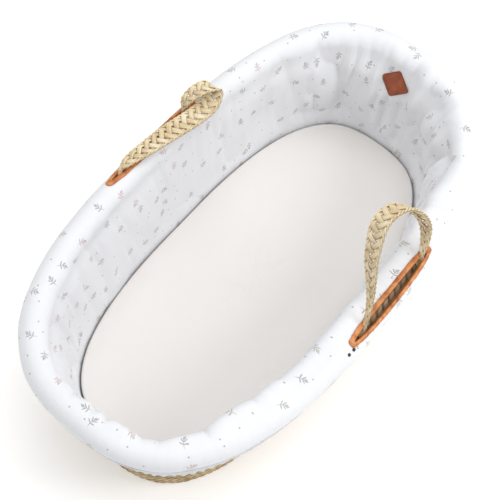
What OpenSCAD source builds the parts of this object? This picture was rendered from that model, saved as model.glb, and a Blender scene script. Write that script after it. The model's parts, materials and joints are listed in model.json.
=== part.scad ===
// Moses basket: a woven straw cot with a padded liner, two braided carry handles and a mattress.
// Frame: +X towards the head, +Y to the baby's left, +Z up, origin under the middle of the base.

/* [Basket] */
// Length over the padded rim
overall_l = 864; // [720:1:1040]
// Width over the padded rim
overall_w = 488; // [410:1:590]
// Height of the rim's centre line above the floor, at the middle of the long sides
rim_h = 245; // [205:1:295]
// Extra height of the rim at the head and foot
end_rise = 23; // [0:1:28]
// Length of the woven base
base_l = 764; // [640:1:800]
// Width of the woven base
base_w = 372; // [312:1:420]
// Thickness of the woven base
base_t = 8; // [6:0.5:10]
// Thickness of the woven wall
wall_t = 7; // [5:0.5:9]
// Diameter of the basket's own braided rim
rim_d = 22; // [18:0.5:26]
// Squareness of the rim's outline, where 2 is an ellipse
rim_square = 2.67; // [2.2:0.01:3.2]
// Squareness of the base's outline
base_square = 2.9; // [2.2:0.01:3.4]

/* [Liner] */
// Diameter of the padded roll over the rim
roll_d = 44; // [40:0.5:54]
// Thickness of the padded inner wall at the floor
pad_t = 13; // [10:0.5:18]
// Thickness of the padded floor
floor_t = 3; // [2:0.5:6]
// Height of the skirt's hem above the floor
hem_h = 115; // [90:1:140]
// Thickness of the skirt
skirt_t = 2.5; // [1.5:0.1:4]
// Width of the hem, with its elastic inside
hem_w = 9; // [6:0.5:14]
// Thickness of the hem
hem_t = 4; // [3:0.1:6]

/* [Handle slots] */
// Length of each slot, tip to tip
slot_l = 195; // [165:1:235]
// Clear width of each slot
slot_gap = 13; // [12.5:0.1:16]
// Width of the leatherette binding beside the slot
binding_w = 7.5; // [6:0.5:10]
// Thickness of the leatherette binding
binding_t = 1.4; // [1:0.1:2]
// Place of the right slot's middle along the basket
right_slot_x = 31; // [0:1:50]
// Place of the left slot's middle along the basket
left_slot_x = -3; // [-40:1:30]

/* [Handles] */
// Distance between the two feet of a handle
handle_span = 160; // [130:1:170]
// Width of the strap along the grip
strap_w = 34; // [26:1:40]
// Width of the strap where it enters the slot
strap_end_w = 8; // [6:0.1:8]
// Thickness of the strap
strap_t = 7; // [5:0.5:8]
// Height of the right handle's arch above its hinge, along the arch
right_handle_h = 121; // [100:1:150]
// Lean of the right handle towards the cot, from upright
right_lean = 30; // [10:1:45]
// Width of the raffia lashing that ties a handle to the rim
lashing_w = 16; // [10:1:22]
// Thickness of the raffia lashing
lashing_t = 2.4; // [1.5:0.1:3]

/* [Mattress] */
// Thickness of the mattress
mattress_t = 50; // [40:1:60]
// Gap between the mattress and the padded wall
mattress_gap = 2; // [1:0.1:6]
// Thickness of the fitted sheet
sheet_t = 1.2; // [0.8:0.1:2]
// How far the fitted sheet turns in under the mattress
sheet_turn = 45; // [30:1:70]
// Width of the flat elastic along the fitted sheet's edge
sheet_elastic_w = 6; // [4:0.5:10]
// Radius of the mattress's rounded edges
mattress_edge = 12; // [6:0.5:18]

/* [Label and studs] */
// Side of the square leather label
label_side = 42; // [30:1:60]
// Thickness of the leather label
label_t = 1.8; // [1:0.1:3]
// Radius of the label's corners
label_corner = 5; // [2:0.5:8]
// Height of the label's middle above the floor, at the head end
label_h = 231; // [190:1:238]
// Diameter of a press stud's cap
stud_d = 5; // [4:0.5:8]
// Thickness of a press stud's cap
stud_t = 2; // [1:0.1:3]
// Distance between the two press studs
stud_pitch = 11; // [9:1:30]
// Gap from the right slot's foot tip to the middle of the press studs
stud_gap = 15; // [10:1:40]
// Tilt of the press studs up from level, around the roll
stud_tilt = 54; // [20:1:60]

/* [Hidden] */

// Clearance between two pieces that lie against each other
clear = 0.3;
// Sides of a ring around the basket, and of its round section
ring_n = 60;
section_n = 14;
// Rings along a strap between two route points
strap_steps = 4;
$fn = 48;

straw = "#C9B184";
straw_dark = "#A8905F";
straw_pale = "#DCC99A";
gauze = "#F3F4F7";
camel = "#C8743C";
leather = "#9C4A28";
ecru = "#EDE9E3";
black = "#26221F";

roll_r = roll_d / 2;
rim_r = rim_d / 2;
rim_a = overall_l / 2 - roll_r;
rim_b = overall_w / 2 - roll_r;
base_a = base_l / 2;
base_b = base_w / 2;
lashing_bore = 1.03 * rim_r + clear;
lashing_r = lashing_bore + lashing_t;
cavity_r = lashing_r + 2 * clear;

// Inner face of the padded wall, at the floor and at the rim
pad_z = base_t + floor_t + 2 * clear;
pad_a = base_a - wall_t - pad_t;
pad_b = base_b - wall_t - pad_t;
pad_top_a = rim_a - roll_r;
pad_top_b = rim_b - roll_r;

// Place of the label beside the middle line
label_out = 5;

// Gap between the skirt's lower edge and the woven wall
skirt_gap = 1;

// Slots and hinge lines: the slots sit a little outside the rim's centre line, and the straps
// turn just above them
slot_out = 5;
slot_tip = 12;
slot_y = rim_b + slot_out;
hinge_r = strap_end_w / 2;
knuckle_l = 9;
root_gap = 2;
root_z = rim_h + rim_r;
left_hinge_y = slot_y + 2;
left_hinge_z = rim_h + roll_r + 6;
right_hinge_y = slot_y - 4;
right_hinge_z = rim_h + roll_r + 9;

// Feet of the handles, at the foot end and at the head end, in half spans from the slot's middle
left_feet = [-1.02, 0.98];
right_feet = [-0.95, 0.97];
// Route of the right strap in the arch's own plane: along the basket in half spans from the
// slot's middle, and up the arch as a share of its height
right_route = [[-0.78, 0], [-0.51, 0.22], [-0.30, 0.49], [-0.08, 0.75], [0.35, 1], [0.85, 0.94],
               [1.18, 0.70], [1.34, 0.40], [1.27, 0.19], [1.03, 0]];
// Route of the left strap, flopped towards the head: along the basket in half spans from the
// slot's middle, and then out from the hinge and up from the hinge in strap widths
left_route = [[-0.84, 0, 0], [-0.66, -0.06, 0.14], [-0.34, -0.15, 0.22], [0.36, -0.53, 0.21],
              [0.96, -0.82, 0.16], [1.40, -0.88, 0.18], [1.66, -0.66, 0.42], [1.60, -0.46, 0.74],
              [1.34, -0.24, 0.82], [1.11, -0.04, 0.50], [1.02, 0, 0]];

mattress_z = pad_z + clear;

// ---- functions ----

function lerp(p, q, s) = p + (q - p) * s;
function unit(v) = v / norm(v);
function spow(v, e) = sign(v) * pow(abs(v), e);

// Point of a superellipse with half sizes a, b and squareness k, at angle t
function oval(a, b, k, t) = [a * spow(cos(t), 2 / k), b * spow(sin(t), 2 / k)];

// Rise of the whole body towards the head and foot, from none at the floor to all at the rim
function rise(x, z) = end_rise * pow(x / rim_a, 2) * z / rim_h;

// Outline angles: half a step off the axes, so that the long sides are straight facets
function ring_angle(i) = (i + 0.5) * 360 / ring_n;

// Level of the basket at height z: the outline's half sizes and squareness on the wall's middle
function level(z) = let(s = z / rim_h)
    [lerp(base_a - wall_t / 2, rim_a, s), lerp(base_b - wall_t / 2, rim_b, s),
     lerp(base_square, rim_square, s)];

// Level of the padded wall's inner face
function pad_level(z) = let(s = (z - pad_z) / (rim_h - pad_z))
    [lerp(pad_a, pad_top_a, s), lerp(pad_b, pad_top_b, s), lerp(base_square, rim_square, s)];

// One ring corner: the level l pushed out by off, at height z and angle t
function corner(l, off, z, t) = let(p = oval(l[0] + off, l[1] + off, l[2], t))
    [p[0], p[1], z + rise(p[0], z)];

// Section corner at angle u of the roll around the rim, at outline angle t
function roll_corner(r, t, u) = let(off = r * cos(u), p = oval(rim_a, rim_b, rim_square, t),
    q = oval(rim_a, rim_b, rim_square, t + 0.01),
    d = unit([q[1] - p[1], p[0] - q[0]]))
    [p[0] + off * d[0], p[1] + off * d[1], rim_h + rise(p[0], rim_h) + r * sin(u)];

// Catmull-Rom point between q1 and q2
function curve(q0, q1, q2, q3, s) = 0.5 * (2 * q1 + (q2 - q0) * s
    + (2 * q0 - 5 * q1 + 4 * q2 - q3) * s * s + (3 * q1 - q0 - 3 * q2 + q3) * s * s * s);

function smooth(p) = let(m = len(p) - 1)
    [for (i = [0:m - 1]) for (j = [0:strap_steps - 1])
        curve(i == 0 ? 2 * p[0] - p[1] : p[i - 1], p[i], p[i + 1],
              i == m - 1 ? 2 * p[m] - p[m - 1] : p[i + 2], j / strap_steps),
     p[m]];

// Widths of a strap with m steps: narrow at the feet, full along the grip
function strap_widths(m, grow) = [for (i = [0:m])
    lerp(strap_end_w, strap_w, pow(sin(180 * i / m), grow))];

// Where the rim's centre line passes x, on one side
function rim_point(x, side) =
    [x, side * rim_b * pow(1 - pow(abs(x / rim_a), rim_square), 1 / rim_square),
     rim_h + rise(x, rim_h)];

function slot_x(side) = side > 0 ? left_slot_x : right_slot_x;
function along(side, u) = slot_x(side) + u * handle_span / 2;
function hinge_y(side) = side > 0 ? left_hinge_y : -right_hinge_y;
function hinge_z(side) = side > 0 ? left_hinge_z : right_hinge_z;
function foot_x(side, end) = along(side, side > 0 ? left_feet[end] : right_feet[end]);

// Hinge point of one foot: the first or the last point of the strap's route
function hinge_point(side, end) =
    let(route = side > 0 ? left_route : right_route)
    [along(side, route[end == 0 ? 0 : len(route) - 1][0]), hinge_y(side), hinge_z(side)];

// ---- shared shapes ----

// Closed ring: grid[i][j] is corner j of the section at outline step i
module ring_solid(grid) {
    m = len(grid[0]);
    n = len(grid);
    points = [for (row = grid) for (p = row) p];
    faces = [for (i = [0:n - 1]) for (j = [0:m - 1]) for (half = [0:1])
        let(a = i * m + j, b = i * m + (j + 1) % m,
            c = ((i + 1) % n) * m + (j + 1) % m, d = ((i + 1) % n) * m + j)
        half == 0 ? [a, b, c] : [a, c, d]];
    polyhedron(points, faces);
}

// Ring whose section is a list of [level, offset, height], counterclockwise seen along the ring
module band(section) {
    ring_solid([for (i = [0:ring_n - 1])
        [for (c = section) corner(c[0], c[1], c[2], ring_angle(i))]]);
}

// Round ring of radius r around the rim
module rim_tube(r) {
    ring_solid([for (i = [0:ring_n - 1]) [for (j = [0:section_n - 1])
        roll_corner(r / cos(180 / section_n), ring_angle(i), (j + 0.5) * 360 / section_n)]]);
}

// Solid plug with the outline of a level, pushed out by off, from z0 to z1
module plug(l, off, z0, z1) {
    translate([0, 0, z0])
        linear_extrude(z1 - z0)
            polygon([for (i = [0:ring_n - 1])
                oval(l[0] + off, l[1] + off, l[2], ring_angle(i))]);
}

// Long outline with pointed ends, grown by off, at a slot
module slot_outline(off) {
    half = slot_l / 2 + off;
    w = slot_gap / 2 + off;
    polygon([[-half, 0], [slot_tip - half, -w], [half - slot_tip, -w],
             [half, 0], [half - slot_tip, w], [slot_tip - half, w]]);
}

module slot_prism(side, off) {
    translate([slot_x(side), side * slot_y, rim_h])
        linear_extrude(roll_d)
            slot_outline(off);
}

// Flat strap swept along points p, with its width across the direction given by wide
module strap_sweep(p, widths, wide) {
    m = len(p) - 1;
    rows = [for (i = [0:m])
        let(along = unit(p[min(i + 1, m)] - p[max(i - 1, 0)]),
            across = unit(wide - along * (wide * along)),
            out = cross(along, across), w = widths[i] / 2, h = strap_t / 2, e = strap_t / 4)
        [for (c = [[w, e], [w - e, h], [e - w, h], [-w, e], [-w, -e], [e - w, -h],
                   [w - e, -h], [w, -e]]) p[i] + across * c[0] + out * c[1]]];
    sides = [for (i = [0:m - 1]) for (j = [0:7]) for (half = [0:1])
        let(a = i * 8 + j, b = i * 8 + (j + 1) % 8,
            c = (i + 1) * 8 + (j + 1) % 8, d = (i + 1) * 8 + j)
        half == 0 ? [a, c, b] : [a, d, c]];
    polyhedron([for (row = rows) for (q = row) q],
        concat(sides, [[for (j = [0:7]) j], [for (j = [7:-1:0]) m * 8 + j]]));
}

// Round bar with its middle at p, pointing along v
module bar(p, v, r, l) {
    translate(p)
        rotate([0, acos(v[2] / norm(v)), atan2(v[1], v[0])])
            cylinder(r = r, h = l, center = true);
}

// Bar that follows the rim at one foot of a handle
module rim_bar(side, end, r, l) {
    p = rim_point(foot_x(side, end), side);
    bar(p, rim_point(p[0] + 1, side) - p, r, l);
}

module lashing_space(side, end) {
    rim_bar(side, end, lashing_r + clear, lashing_w + 2 * clear);
}

// Padded rim roll with the rim, lashings, wall and slots cut out of it
module roll_body() {
    difference() {
        rim_tube(roll_r);
        rim_tube(cavity_r);
        band([[level(rim_h - roll_d), -wall_t / 2 - clear, rim_h - roll_d],
              [level(rim_h - roll_d), wall_t / 2 + clear, rim_h - roll_d],
              [level(rim_h), wall_t / 2 + clear, rim_h],
              [level(rim_h), -wall_t / 2 - clear, rim_h]]);
        for (side = [-1, 1]) slot_prism(side, binding_t + clear);
    }
}

// Blocks that keep one side of the roll, with its slot, or one end
roll_split = slot_l / 2 + 60;
module side_block(side) {
    translate([-roll_split, side > 0 ? 0 : -overall_w, 0])
        cube([2 * roll_split, overall_w, 2 * rim_h]);
}

module end_block(end) {
    translate([end > 0 ? roll_split + clear : -roll_split - clear - overall_l,
               -overall_w, 0])
        cube([overall_l, 2 * overall_w, 2 * rim_h]);
}

// ---- basket ----

module basket_base() {
    color(straw)
        plug(level(0), wall_t / 2, 0, base_t);
}

module basket_wall() {
    z0 = base_t + clear / 3;
    color(straw)
        difference() {
            band([[level(z0), -wall_t / 2, z0], [level(z0), wall_t / 2, z0],
                  [level(rim_h / 2), wall_t / 2, rim_h / 2], [level(rim_h), wall_t / 2, rim_h],
                  [level(rim_h), -wall_t / 2, rim_h], [level(rim_h / 2), -wall_t / 2, rim_h / 2]]);
            rim_tube(rim_r + clear / 3);
            for (side = [-1, 1]) for (end = [0, 1])
                lashing_space(side, end);
        }
}

module basket_rim() {
    color(straw_dark)
        rim_tube(rim_r);
}

// ---- liner ----

module liner_floor() {
    color(gauze)
        plug(pad_level(base_t), -clear, base_t + clear, base_t + clear + floor_t);
}

module liner_lining() {
    z0 = base_t + clear;
    out = -wall_t / 2 - 2 * clear;
    difference() {
        band([[pad_level(z0), 0, z0], [level(z0), out, z0],
              [level(rim_h / 2), out, rim_h / 2], [level(rim_h), out, rim_h],
              [pad_level(rim_h), 0, rim_h], [pad_level(rim_h / 2), 0, rim_h / 2]]);
        rim_tube(roll_r + clear);
    }
}
module liner_wall_end(end) {
    color(gauze)
        intersection() {
            liner_lining();
            end_block(end);
        }
}
module liner_wall_side(side) {
    color(gauze)
        intersection() {
            liner_lining();
            side_block(side);
        }
}

module liner_roll_end(end) {
    color(gauze)
        intersection() {
            roll_body();
            end_block(end);
        }
}

module liner_roll_side(side) {
    color(gauze)
        intersection() {
            roll_body();
            side_block(side);
        }
}

// Skirt: hangs from the outer side of the roll and is drawn in to the wall at its hem
module liner_skirt() {
    top_z = rim_h - 0.65 * roll_r;
    top_off = sqrt(pow(1.03 * roll_r, 2) - pow(rim_h - top_z, 2)) + clear;
    hem_off = wall_t / 2 + skirt_gap;
    color(gauze)
        band([[level(hem_h), hem_off, hem_h], [level(hem_h), hem_off + skirt_t, hem_h],
              [level(rim_h), top_off + skirt_t, top_z], [level(rim_h), top_off, top_z]]);
}

module skirt_hem() {
    z1 = hem_h - clear;
    z0 = z1 - hem_w;
    off = wall_t / 2 + skirt_gap;
    color(gauze)
        band([[level(z0), off, z0], [level(z0), off + hem_t, z0],
              [level(z1), off + hem_t, z1], [level(z1), off, z1]]);
}

// Leatherette binding: a rim that lies on the roll and a lip that lines the slot
module slot_binding(side) {
    lip_z = rim_h + cavity_r + rise(slot_x(side) + slot_l / 2, rim_h);
    color(camel)
        intersection() {
            rim_tube(roll_r + clear + binding_t);
            difference() {
                slot_prism(side, binding_w);
                slot_prism(side, 0);
                difference() {
                    rim_tube(roll_r + clear);
                    slot_prism(side, binding_t);
                }
                translate([-overall_l / 2, -overall_w, 0])
                    cube([overall_l, 2 * overall_w, lip_z]);
            }
        }
}

module rounded_square(side, r) {
    union() {
        square([side, side - 2 * r], center = true);
        square([side - 2 * r, side], center = true);
        for (x = [-1, 1]) for (y = [-1, 1])
            translate([x * (side / 2 - r), y * (side / 2 - r)])
                circle(r = r);
    }
}

// Places a flat piece on the inner face of the head end, corner up, raised by h and a little
// to the left of the middle
module on_head_wall(h) {
    tilt = atan((pad_top_a - pad_a) / (rim_h - pad_z));
    z = label_h * rim_h / (rim_h + end_rise);
    curve_gap = 3.2;
    translate([pad_level(z)[0] - curve_gap, label_out, label_h])
        rotate([0, tilt - 90, 0])
            translate([0, 0, h])
                rotate(45)
                    children();
}

module leather_label() {
    color(leather)
        on_head_wall(0)
            linear_extrude(label_t)
                rounded_square(label_side, label_corner);
}

// One line of stitches around the label, a little in from its edge
module label_stitching() {
    inset = 3.5;
    thread = 0.8;
    color(straw_pale)
        on_head_wall(label_t + clear / 6)
            linear_extrude(thread)
                difference() {
                    rounded_square(label_side - 2 * inset, label_corner - 1);
                    rounded_square(label_side - 2 * inset - 2 * thread, label_corner - 1 - thread);
                }
}

module press_stud(i) {
    x = slot_x(-1) - slot_l / 2 - stud_gap + (i - 0.5) * stud_pitch;
    seat = roll_r / cos(180 / section_n) + clear / 3;
    color(black)
        translate(rim_point(x, -1))
            rotate([90 - stud_tilt, 0, 0])
                translate([0, 0, seat])
                    cylinder(d = stud_d, h = stud_t);
}

// ---- handles ----

// Tie of raffia around the rim at one foot of a handle
module lashing(side, end) {
    color(straw_pale)
        difference() {
            rim_bar(side, end, lashing_r, lashing_w);
            rim_bar(side, end, lashing_bore, 2 * lashing_w);
        }
}

// Fixed foot of a strap: it stands on its lashing and ends in a cup under the hinge
module handle_root(side, end) {
    top = hinge_point(side, end);
    foot = [foot_x(side, end), side * (slot_y + 1), root_z + rise(top[0], rim_h)];
    color(straw)
        difference() {
            strap_sweep([foot, lerp(foot, top, 0.5), top],
                        [strap_end_w, strap_end_w, strap_end_w], [0, 1, 0]);
            bar(top, [1, 0, 0], hinge_r + root_gap, 3 * knuckle_l);
            lashing_space(side, end);
        }
}

module handle_strap(side, points, grow, wide) {
    route = smooth(points);
    color(straw)
        union() {
            strap_sweep(route, strap_widths(len(route) - 1, grow), wide);
            for (end = [0, 1]) bar(hinge_point(side, end), [1, 0, 0], hinge_r, knuckle_l);
        }
}

module left_handle_strap() {
    grow = 1.1;
    handle_strap(1, [for (q = left_route)
        [along(1, q[0]), left_hinge_y + q[1] * strap_w, left_hinge_z + q[2] * strap_w]],
        grow, [0, 1, 0]);
}

module right_handle_strap() {
    grow = 1.5;
    handle_strap(-1, [for (q = right_route)
        [along(-1, q[0]), q[1] * right_handle_h * sin(right_lean) - right_hinge_y,
         right_hinge_z + q[1] * right_handle_h * cos(right_lean)]],
        grow, [0, cos(right_lean), -sin(right_lean)]);
}

// ---- mattress ----

// Oval cushion that fits the padded wall, with rounded edges, shrunk by inset on every face
module cushion(inset) {
    steps = 4;
    r = mattress_edge - inset;
    z0 = mattress_z + inset;
    z1 = mattress_z + mattress_t - inset;
    fit = -mattress_gap - inset;
    rings = concat(
        [for (i = [0:steps]) let(u = 90 * i / steps) [z0 + r * (1 - cos(u)), r * (sin(u) - 1)]],
        [for (i = [steps:-1:0]) let(u = 90 * i / steps) [z1 - r * (1 - cos(u)), r * (sin(u) - 1)]]);
    m = len(rings);
    points = [for (q = rings) let(l = pad_level(q[0])) for (i = [0:ring_n - 1])
        let(p = oval(l[0] + fit + q[1], l[1] + fit + q[1], l[2], ring_angle(i)))
        [p[0], p[1], q[0]]];
    sides = [for (k = [0:m - 2]) for (i = [0:ring_n - 1]) for (half = [0:1])
        let(a = k * ring_n + i, b = k * ring_n + (i + 1) % ring_n,
            c = (k + 1) * ring_n + (i + 1) % ring_n, d = (k + 1) * ring_n + i)
        half == 0 ? [a, c, b] : [a, d, c]];
    polyhedron(points, concat(sides, [[for (i = [0:ring_n - 1]) i],
        [for (i = [ring_n - 1:-1:0]) (m - 1) * ring_n + i]]));
}

module mattress_core() {
    color("white")
        cushion(sheet_t + clear);
}

module fitted_sheet() {
    color(ecru)
        difference() {
            cushion(0);
            cushion(sheet_t);
            plug(pad_level(pad_z), -mattress_gap - mattress_edge - sheet_turn,
                 mattress_z - 1, mattress_z + mattress_t / 2);
        }
}

// Flat elastic along the sheet's turned-in edge
module sheet_elastic() {
    edge = -mattress_gap - mattress_edge - sheet_turn - clear;
    l = pad_level(pad_z);
    color("white")
        difference() {
            plug(l, edge, mattress_z, mattress_z + sheet_t);
            plug(l, edge - sheet_elastic_w, mattress_z - 1, mattress_z + sheet_t + 1);
        }
}

basket_base();
basket_wall();
basket_rim();
liner_floor();
liner_wall_end(1);  // liner_wall_head
liner_wall_end(-1);  // liner_wall_foot
liner_wall_side(1);  // liner_wall_left
liner_wall_side(-1);  // liner_wall_right
liner_roll_end(1);  // liner_roll_head
liner_roll_end(-1);  // liner_roll_foot
liner_roll_side(1);  // liner_roll_left
liner_roll_side(-1);  // liner_roll_right
liner_skirt();
skirt_hem();
slot_binding(1);  // left_slot_binding
slot_binding(-1);  // right_slot_binding
handle_root(1, 1);  // left_root_head
handle_root(1, 0);  // left_root_foot
handle_root(-1, 1);  // right_root_head
handle_root(-1, 0);  // right_root_foot
lashing(1, 1);  // left_lashing_head
lashing(1, 0);  // left_lashing_foot
lashing(-1, 1);  // right_lashing_head
lashing(-1, 0);  // right_lashing_foot
left_handle_strap();
right_handle_strap();
mattress_core();
fitted_sheet();
sheet_elastic();
leather_label();
label_stitching();
press_stud(0);  // press_stud_lower
press_stud(1);  // press_stud_upper
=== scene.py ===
import json
import math

import bmesh
import bpy
import numpy as np
from mathutils import Matrix, Vector

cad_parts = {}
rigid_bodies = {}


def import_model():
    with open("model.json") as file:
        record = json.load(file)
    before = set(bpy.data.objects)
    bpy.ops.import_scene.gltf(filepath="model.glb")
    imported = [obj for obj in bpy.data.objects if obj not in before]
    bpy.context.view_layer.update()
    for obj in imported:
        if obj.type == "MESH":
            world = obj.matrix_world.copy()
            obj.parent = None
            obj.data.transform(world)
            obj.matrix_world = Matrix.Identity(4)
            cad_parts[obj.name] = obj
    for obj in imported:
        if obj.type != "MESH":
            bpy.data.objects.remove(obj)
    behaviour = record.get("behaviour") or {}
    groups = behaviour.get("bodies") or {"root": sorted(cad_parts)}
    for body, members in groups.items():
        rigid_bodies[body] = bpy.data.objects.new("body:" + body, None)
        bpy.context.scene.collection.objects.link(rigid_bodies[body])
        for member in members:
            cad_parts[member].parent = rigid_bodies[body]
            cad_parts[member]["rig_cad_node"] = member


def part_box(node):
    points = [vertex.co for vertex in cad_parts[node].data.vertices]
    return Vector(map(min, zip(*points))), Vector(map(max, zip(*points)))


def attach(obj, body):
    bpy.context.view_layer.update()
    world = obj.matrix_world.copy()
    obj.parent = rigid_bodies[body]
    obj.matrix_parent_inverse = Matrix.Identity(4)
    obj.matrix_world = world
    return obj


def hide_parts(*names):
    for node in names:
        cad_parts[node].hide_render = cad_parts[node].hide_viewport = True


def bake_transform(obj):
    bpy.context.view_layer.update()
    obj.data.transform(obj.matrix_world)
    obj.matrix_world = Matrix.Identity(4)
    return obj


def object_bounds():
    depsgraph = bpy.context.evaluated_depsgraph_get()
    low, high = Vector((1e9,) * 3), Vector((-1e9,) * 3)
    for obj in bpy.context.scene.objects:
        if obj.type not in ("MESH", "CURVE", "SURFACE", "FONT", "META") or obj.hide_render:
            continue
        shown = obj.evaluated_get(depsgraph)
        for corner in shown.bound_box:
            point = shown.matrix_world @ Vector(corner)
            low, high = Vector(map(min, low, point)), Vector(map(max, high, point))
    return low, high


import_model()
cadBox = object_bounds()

mm = 0.001
full = 2 * math.pi


# small maths helpers

def lerp(a, b, t):
    return a + (b - a) * t


def smooth(a, b, x):
    # soft step: 0 before a, 1 after b
    t = np.clip((x - a) / (b - a), 0, 1)
    return t * t * (3 - 2 * t)


def unit(v):
    return v / np.maximum(np.linalg.norm(v, axis=-1, keepdims=True), 1e-12)


def ripple(u, v, cellsU, cellsV, seed):
    # soft random heights from -1 to 1 on a grid of knots; u wraps round at 1
    knots = np.random.default_rng(seed).uniform(-1, 1, (cellsU, cellsV + 2))
    fu = np.mod(u, 1) * cellsU
    fv = np.clip(v, 0, 1) * cellsV
    iu = np.floor(fu).astype(int)
    iv = np.minimum(np.floor(fv).astype(int), cellsV)
    tu, tv = fu - iu, fv - iv
    tu, tv = tu * tu * (3 - 2 * tu), tv * tv * (3 - 2 * tv)
    iu, iu2 = iu % cellsU, (iu + 1) % cellsU
    low = lerp(knots[iu, iv], knots[iu2, iv], tu)
    high = lerp(knots[iu, iv + 1], knots[iu2, iv + 1], tu)
    return lerp(low, high, tv)


# the basket's outlines, from the CAD boxes

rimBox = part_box("basket_rim")
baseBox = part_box("basket_base")
basket = {
    "rimRadius": 11 * mm,
    "rimHeight": 245 * mm,      # middle of the rim at the basket's waist
    "endRise": 23 * mm,         # how much higher the rim is at both ends
    "rimSquare": 2.67,
    "baseSquare": 2.9,
    "wallThickness": 7 * mm,
}
rimA = rimBox[1].x - basket["rimRadius"]
rimB = rimBox[1].y - basket["rimRadius"]
baseA, baseB = baseBox[1].x, baseBox[1].y
rimH = basket["rimHeight"]


def ovalUnit(psi, k):
    # superellipse of unit half lengths at polar angle psi: |x|^k + |y|^k = 1
    c, s = np.cos(psi), np.sin(psi)
    d = (np.abs(c) ** k + np.abs(s) ** k) ** (-1 / k)
    return c * d, s * d


def ovalAt(psi, a, b, k):
    # point on the oval and its outward normal
    ux, uy = ovalUnit(psi, k)
    nx = np.sign(ux) * np.abs(ux) ** (k - 1) / a
    ny = np.sign(uy) * np.abs(uy) ** (k - 1) / b
    length = np.sqrt(nx * nx + ny * ny)
    return ux * a, uy * b, nx / length, ny / length


def riseAt(x, z):
    # the ends sweep up with the square of the distance from the middle
    return basket["endRise"] * (x / rimA) ** 2 * z / rimH


def wallLevel(z):
    # half lengths and squareness of the woven wall's middle at height z
    s = z / rimH
    return lerp(baseA - 3.5 * mm, rimA, s), lerp(baseB - 3.5 * mm, rimB, s), \
        lerp(basket["baseSquare"], basket["rimSquare"], s)


def padLevel(z):
    # the same for the liner's inner face
    s = (z - 11.6 * mm) / (rimH - 11.6 * mm)
    return lerp(rimA - 48 * mm, rimA - 22 * mm, s), lerp(rimB - 56 * mm, rimB - 22 * mm, s), \
        lerp(basket["baseSquare"], basket["rimSquare"], s)


finePsi = np.linspace(0, full, 12001)
fineX, fineY, _, _ = ovalAt(finePsi, rimA, rimB, basket["rimSquare"])
fineLength = np.r_[0, np.cumsum(np.hypot(np.diff(fineX), np.diff(fineY)))]
rimLength = fineLength[-1]


def psiAt(s):
    # polar angle at the share s of the way round the rim, from the head end towards the left side
    whole = np.floor(s)
    return np.interp((s - whole) * rimLength, fineLength, finePsi) + whole * full


def shareAtX(x, side):
    # share of the way round where the rim has this x on one long side
    s = np.linspace(0.02, 0.48, 4000)
    px = ovalAt(psiAt(s), rimA, rimB, basket["rimSquare"])[0]
    found = np.interp(-x, -px, s)
    return found if side > 0 else 1 - found


def ringPoints(s, a, b, k, out, z):
    # points round an oval, pushed out along its normal; z lifts with the ends
    x, y, nx, ny = ovalAt(psiAt(s), a, b, k)
    return np.stack([x + nx * out, y + ny * out, z + riseAt(x, z)], -1)


# mesh helpers

def gridFaces(rows, columns, wrapRows=False, wrapColumns=False, keep=None):
    # four-sided faces of a grid, with a mask of the cells to keep
    i = np.arange(rows if wrapRows else rows - 1)
    j = np.arange(columns if wrapColumns else columns - 1)
    i, j = np.meshgrid(i, j, indexing="ij")
    if keep is not None:
        i, j = i[keep], j[keep]
    i, j = i.ravel(), j.ravel()
    i2, j2 = (i + 1) % rows, (j + 1) % columns
    quads = np.stack([i * columns + j, i2 * columns + j, i2 * columns + j2, i * columns + j2], -1)
    corner = np.stack([np.stack([i, j], -1), np.stack([i + 1, j], -1),
                       np.stack([i + 1, j + 1], -1), np.stack([i, j + 1], -1)], 1)
    return quads, corner


def volumeOf(points, quads):
    a, b, c, d = (points[quads[:, n]] for n in range(4))
    return (np.einsum("ij,ij->i", a, np.cross(b, c)) + np.einsum("ij,ij->i", a, np.cross(c, d))).sum() / 6


def outwardShape(points, quads, uv, **more):
    # a shape whose faces look outward: they are turned round where the volume is negative
    if volumeOf(points, quads) < 0:
        quads, uv = quads[:, ::-1], uv[:, ::-1]
    return {"points": points, "quads": quads, "uv": uv, **more}


def ringAxes(nx, ny):
    # level outward and upright directions along a ring
    outward = np.stack([nx, ny, 0 * nx], -1)
    return outward, np.broadcast_to([0.0, 0.0, 1.0], outward.shape)


def sweep(path, across, up, profileA, profileB, closed=False, u=None):
    # a profile carried along a path: path + across * profileA + up * profileB, closed round, ends capped
    count = path.shape[0]
    pa = np.broadcast_to(profileA, (count, np.shape(profileA)[-1]))
    pb = np.broadcast_to(profileB, pa.shape)
    points = path[:, None] + across[:, None] * pa[..., None] + up[:, None] * pb[..., None]
    sides = pa.shape[1]
    flat = points.reshape(-1, 3)
    quads, corner = gridFaces(count, sides, closed, True)
    if u is None:
        u = np.r_[0, np.cumsum(np.linalg.norm(np.diff(path, axis=0), axis=1))]
    uRow = np.r_[u, u[-1] + (u[-1] - u[-2])]
    uv = np.stack([uRow[corner[..., 0]], corner[..., 1] / sides], -1)
    # crease: how far each profile point lies in from the widest one; the straw finishes paint shade by it
    radius = np.hypot(pa, pb)
    crease = 1 - radius / np.maximum(radius.max(), 1e-9)
    crease = np.broadcast_to(crease, pa.shape).reshape(-1)
    if not closed:                              # a middle point closes each end
        ends = points[[0, -1]].mean(1)
        first, n = len(flat), np.arange(sides)
        last = (count - 1) * sides
        flat = np.vstack([flat, ends])
        cap0 = np.stack([np.full(sides, first), (n + 1) % sides, n, n], -1)
        cap1 = np.stack([np.full(sides, first + 1), last + n, last + (n + 1) % sides,
                         last + (n + 1) % sides], -1)
        quads = np.vstack([quads, cap0, cap1])
        uv = np.concatenate([uv, np.zeros((2 * sides, 4, 2))])
        crease = np.r_[crease, 0, 0]
    return outwardShape(flat, quads, uv, crease=crease)


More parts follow.
